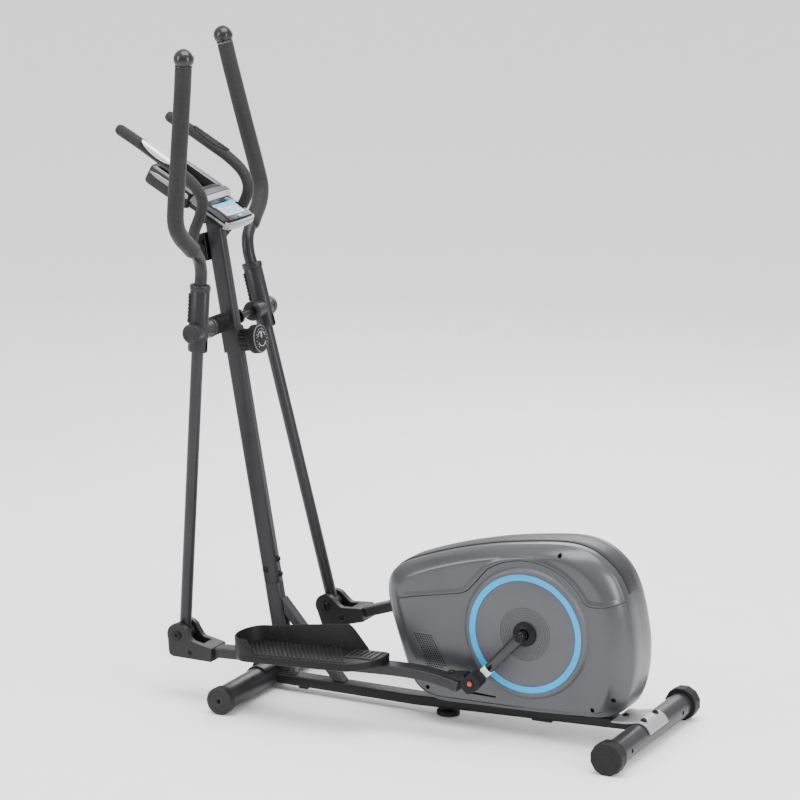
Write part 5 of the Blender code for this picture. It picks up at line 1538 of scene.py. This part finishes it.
def make_screen():
    panel("screen_glass", "screen", 0.0250, 0.0690, 0.0500, face_height(0.0250, 0), face_height(0.0690, 0),
          0.0, 0.0006,
          0.0040)
    panel("screen_strip", "screen_teal", 0.0725, 0.0835, 0.0600, face_height(0.0725, 0),
          face_height(0.0835, 0), 0.0,
          0.0005, 0.0030)

    panel("screen_header", "screen_blue", 0.0590, 0.0688, 0.0498, face_height(0.0590, 0),
          face_height(0.0688, 0), 0.0006,
          0.0010, 0.0040)

    def tile(s0, s1, y0, y1, height):
        rings = []
        for lift in (0.0002, height):
            corners = [(s0, y0), (s1, y0), (s1, y1), (s0, y1)]
            rings.append([on_console(s, face_height(s, y) + lift, y) for s, y in corners])
        return loft(rings)

    blue = [tile(0.0300, 0.0460, -0.012, 0.0160, 0.0010)]
    blue.append(tile(0.0310, 0.0360, 0.0175, 0.0380, 0.0010))
    piece("screen_patches", "frame", "screen_blue", merged(blue))
    marks = []
    places = ((0.0545, -0.030, 0.018), (0.0545, -0.004, 0.012), (0.0545, 0.020, 0.020),
              (0.0470, -0.034, 0.020),
              (0.0400, -0.030, 0.016), (0.0340, -0.028, 0.010), (0.0335, 0.002, 0.008),
              (0.0410, 0.030, 0.010))
    for i, (s, y, wide) in enumerate(places):
        marks.append(tile(s, s + 0.0022, y, y + wide, 0.0014 + 0.00004 * i))
    piece("screen_marks", "frame", "screen_mark", merged(marks))

    button = []
    for lift, inset in ((0.0208, 0.0), (0.0240, 0.0002), (0.0252, 0.0010)):
        shape = rounded_rectangle(0.0070 - 2 * inset, 0.0200 - 2 * inset, 0.0030 - inset)
        button.append([on_console(0.0170 + a, lift, b) for a, b in shape])
    piece("mode_key", "console_key", "key_blue", loft(button), ["mode_button"])


def make_tray():
    """The tablet tray ahead of the console: dark shell, ribbed floor, grey rails, pale trim and side stripes."""
    half, wall = 0.0745, 0.0150
    start, end = 0.1180, 0.2490
    floor = 0.0030
    rib_count, rib_reach = 17, 0.052
    rail_level, rail_inset = 0.0284, 0.0076
    trim_inset = 0.0148
    stripe_level = 0.0165
    middle = (start + end) / 2
    rings = []
    wall_profile = (
        (-0.0150, 0.0050), (-0.0135, 0.0018), (-0.0100, 0.0), (0.0225, 0.0), (0.0272, 0.0012), (0.0286, 0.0034),
        (0.0290, 0.0060), (0.0286, 0.0135), (0.0262, 0.0148), (floor, wall),
    )
    for lift, inset in wall_profile:
        shape = rounded_rectangle(end - start - 2 * inset, 2 * half - 2 * inset, max(0.004, 0.018 - inset), 8)
        rings.append([on_console(middle + a, lift, b) for a, b in shape])
    piece("tray_shell", "frame", "moulded_dark", loft(rings), ["tablet_tray"], sharp=40)
    ribs = []
    for i in range(rib_count):
        y = -rib_reach + i * (2 * rib_reach) / (rib_count - 1)
        shape = ((floor - 0.0005, -0.0020), (floor + 0.0013, -0.0010), (floor + 0.0013, 0.0010),
                 (floor - 0.0005, 0.0020))
        ribs.append(loft([[on_console(s, n, y + b) for n, b in shape] for s in (0.1360, 0.2310)]))
    piece("tray_ribs", "frame", "tray_olive", merged(ribs))
    for side_name, side in SIDES:
        rail = []
        for s, k in ((0.1190, 0.75), (0.1230, 1.0), (0.2300, 1.0), (0.2400, 0.55)):
            crown = rail_level + 0.0018 * k
            shape = [(-0.0062 * k, rail_level), (-0.0052 * k, crown), (0.0052 * k, crown), (0.0062 * k, rail_level)]
            rail.append([on_console(s, n, side * (half - rail_inset) + b) for b, n in shape])
        piece("tray_rail_" + side_name, "frame", "band_grey", loft(rail), sharp=30)
        trim = []
        for s in (0.1250, 0.2360):
            shape = [(-0.0008, 0.0270), (-0.0008, 0.0294), (0.0008, 0.0294), (0.0008, 0.0270)]
            trim.append([on_console(s, n, side * (half - trim_inset) + b) for b, n in shape])
        piece("tray_trim_" + side_name, "frame", "pale_silver", loft(trim), bevel=0.0003)
        flank = []
        for s, k in ((0.1240, 0.55), (0.1300, 1.0), (0.2200, 0.9), (0.2390, 0.25)):
            outer, inner = 0.0062 * k, 0.0050 * k
            shape = [(stripe_level - outer, 0.0), (stripe_level - inner, 0.0012),
                     (stripe_level + inner, 0.0012), (stripe_level + outer, 0.0)]
            flank.append([on_console(s, n, side * (half + b)) for n, b in shape])
        piece("tray_stripe_" + side_name, "frame", "silver", loft(flank), sharp=30)


def bar_points():
    clamp = (-0.534, 1.062)
    half = [
        (-0.6990, 0.1140, 1.3500), (-0.6400, 0.1160, 1.3200), (-0.5830, 0.1175, 1.2880),
        (-0.5320, 0.1170, 1.2590),
        (-0.4940, 0.1140, 1.2290), (-0.4765, 0.1090, 1.1950), (-0.4855, 0.1050, 1.1580),
        (-0.5085, 0.0920, 1.1180),
        (-0.5280, 0.0690, 1.0820), (clamp[0], 0.0400, clamp[1] + 0.002),
    ]
    left = [(x, -y, z) for x, y, z in half]
    return left + [(clamp[0], -0.026, clamp[1]), (clamp[0], 0.026, clamp[1])] + half[::-1]


def make_handlebar():
    route = smooth_route(bar_points(), 260)
    grow = [1.0] * len(route)
    for i, k in enumerate((0.72, 0.93)):
        grow[i] = k
        grow[-1 - i] = k
    bar = sweep(route, circle(BAR_RADIUS), Vector((0, 0, 1)), grow)
    piece("console_bar", "frame", "foam_black", bar, ["fixed_handlebar"])

    for side_name, side in SIDES:
        line = [p for p in smooth_route(bar_points(), 521) if p.y * side > 0 and -0.634 < p.x < -0.540]
        line.sort(key=lambda p: -p.x)
        count = len(line)

        def plate(low, high, spread, grow_ends, ribs=False):
            rings = []
            for i, (p, u, v) in enumerate(frames_along(line)):
                t = i / (count - 1)
                reach = math.radians(spread) * math.sqrt(max(0.0, 1 - (2 * t - 1) ** 2 * grow_ends))
                lift = high + (0.0005 * (i % 6 < 3) if ribs else 0.0)
                turns = [math.radians(SENSOR_TURN * side) - reach + 2 * reach * k / 16 for k in range(17)]
                outer = [p + u * lift * math.cos(a) + v * lift * math.sin(a) for a in turns]
                inner = [p + u * low * math.cos(a) + v * low * math.sin(a) for a in turns]
                rings.append(outer + inner[::-1])
            return loft(rings)

        piece("sensor_rim_" + side_name, "frame", "moulded_black", plate(0.0128, 0.0158, 74, 0.55), sharp=40)
        # the two plates are the same metal; the right one takes the dark black_oxide finish as painted shade, for
        # the darker reflection it shows
        finish = "almond" if side < 0 else "black_oxide"  # the right plate is the darker one
        metal = plate(0.0130, 0.0165, 58, 0.97)
        piece("sensor_plate_" + side_name, "frame", finish, metal, ["pulse_sensor_" + side_name], sharp=40)
    make_clamp()


def make_clamp():
    """The glossy two-piece cover that clamps the fixed handlebar to the front of the mast."""
    outline = [(0.0214, 0.146), (0.0460, 0.148), (0.0585, 0.155), (0.0645, 0.167), (0.0645, 0.190),
               (0.0590, 0.203),
               (0.0460, 0.211), (0.0214, 0.214)]
    points = [on_mast(ahead, up) for ahead, up in outline]
    bm = prism([(p.x, p.z) for p in points], -0.0225, 0.0225)
    piece("clamp_cover", "frame", "gloss_black", bm, ["handlebar_clamp"], bevel=0.0035, segments=4,
          bevel_angle=12)
    ahead = on_mast(1, 0) - on_mast(0, 0)
    heads = [bolt(on_mast(0.0642, up), ahead, 0.0052, 0.0042, 1.4) for up in (0.170, 0.187)]
    piece("clamp_bolts", "frame", "black_oxide", merged(heads))


# ---------------------------------------------------------------- stage, lights and camera


FLOOR_HALF = 40.0
HORIZON_GLOW, ZENITH_GLOW, ZENITH_FROM = 0.70, 1.75, 0.8
# name, place, the point it faces, width and height in metres, watts
LIGHTS = (
    ("overhead", (0.4, -0.3, 4.2), (0.1, 0, 0.5), (3.2, 2.4), 190),
    ("front_left", (-2.8, -3.2, 2.4), (0.2, 0, 0.5), (1.4, 2.4), 90),
    ("rear_right", (3.4, -1.2, 1.8), (0.3, 0, 0.5), (1.0, 2.2), 80),
    ("behind", (-0.6, 3.4, 2.4), (0.0, 0, 0.7), (2.4, 1.6), 60),
)
SENSOR_WIDTH, FOCAL_LENGTH = 36, 155.95
CAMERA_SHIFT = (0.0023, 0.0029)
CAMERA_PLACE = Vector((3.503, -6.985, 2.605)) + SHIFT
CAMERA_TILT, CAMERA_TURN = 76.59, 26.78


def make_floor():
    bm = bmesh.new()
    corners = [(FLOOR_HALF * a, FLOOR_HALF * b) for a, b in ((-1, -1), (1, -1), (1, 1), (-1, 1))]
    bm.faces.new([bm.verts.new((x, y, 0.0)) for x, y in corners])
    mesh = bpy.data.meshes.new("floor")
    bm.to_mesh(mesh)
    bm.free()
    mesh.materials.append(surface("pale_floor", (0.92, 0.92, 0.922), 0.60, spread=0.01, depth=0.00005,
                                  grain=60.0))
    floor = bpy.data.objects.new("floor", mesh)
    bpy.context.collection.objects.link(floor)


def area_light(name, place, aim_at, size, power):
    light = bpy.data.lights.new(name, "AREA")
    light.shape = "RECTANGLE"
    light.size, light.size_y = size
    light.energy = power
    obj = bpy.data.objects.new(name, light)
    bpy.context.collection.objects.link(obj)
    obj.location = place
    obj.rotation_mode = "QUATERNION"
    obj.rotation_quaternion = (Vector(aim_at) - Vector(place)).to_track_quat("-Z", "Y")


def make_lights():
    """A pale surround, brighter overhead than at the horizon, and four large soft panels."""
    world = bpy.data.worlds.new("studio")
    world.use_nodes = True
    tree = world.node_tree
    background = tree.nodes["Background"]
    background.inputs["Strength"].default_value = 1.0
    coordinates = tree.nodes.new("ShaderNodeTexCoord")
    parts = tree.nodes.new("ShaderNodeSeparateXYZ")
    ramp = tree.nodes.new("ShaderNodeMapRange")
    ramp.inputs["From Min"].default_value = 0.0
    ramp.inputs["From Max"].default_value = ZENITH_FROM
    ramp.inputs["To Min"].default_value = HORIZON_GLOW
    ramp.inputs["To Max"].default_value = ZENITH_GLOW
    tree.links.new(coordinates.outputs["Generated"], parts.inputs["Vector"])
    tree.links.new(parts.outputs["Z"], ramp.inputs["Value"])
    tree.links.new(ramp.outputs["Result"], background.inputs["Color"])
    bpy.context.scene.world = world
    for light in LIGHTS:
        area_light(*light)


def make_camera():
    camera = bpy.data.cameras.new("camera")
    camera.sensor_width = SENSOR_WIDTH
    camera.lens = FOCAL_LENGTH
    camera.shift_x, camera.shift_y = CAMERA_SHIFT
    camera.clip_end = 100
    obj = bpy.data.objects.new("camera", camera)
    bpy.context.collection.objects.link(obj)
    obj.location = CAMERA_PLACE
    obj.rotation_euler = (math.radians(CAMERA_TILT), 0, math.radians(CAMERA_TURN))
    bpy.context.scene.camera = obj


# ---------------------------------------------------------------- the scene

paint_kept_nodes()
make_rail()
make_front_foot()
make_rear_foot()
make_middle_foot()
make_mast()
make_shroud()
make_knob()
make_pivot_shaft()
make_arms()
make_pedal_sets()
make_cranks()
make_shells()
make_spine()
make_side_discs()
make_console()
make_handlebar()
make_floor()
make_lights()
make_camera()
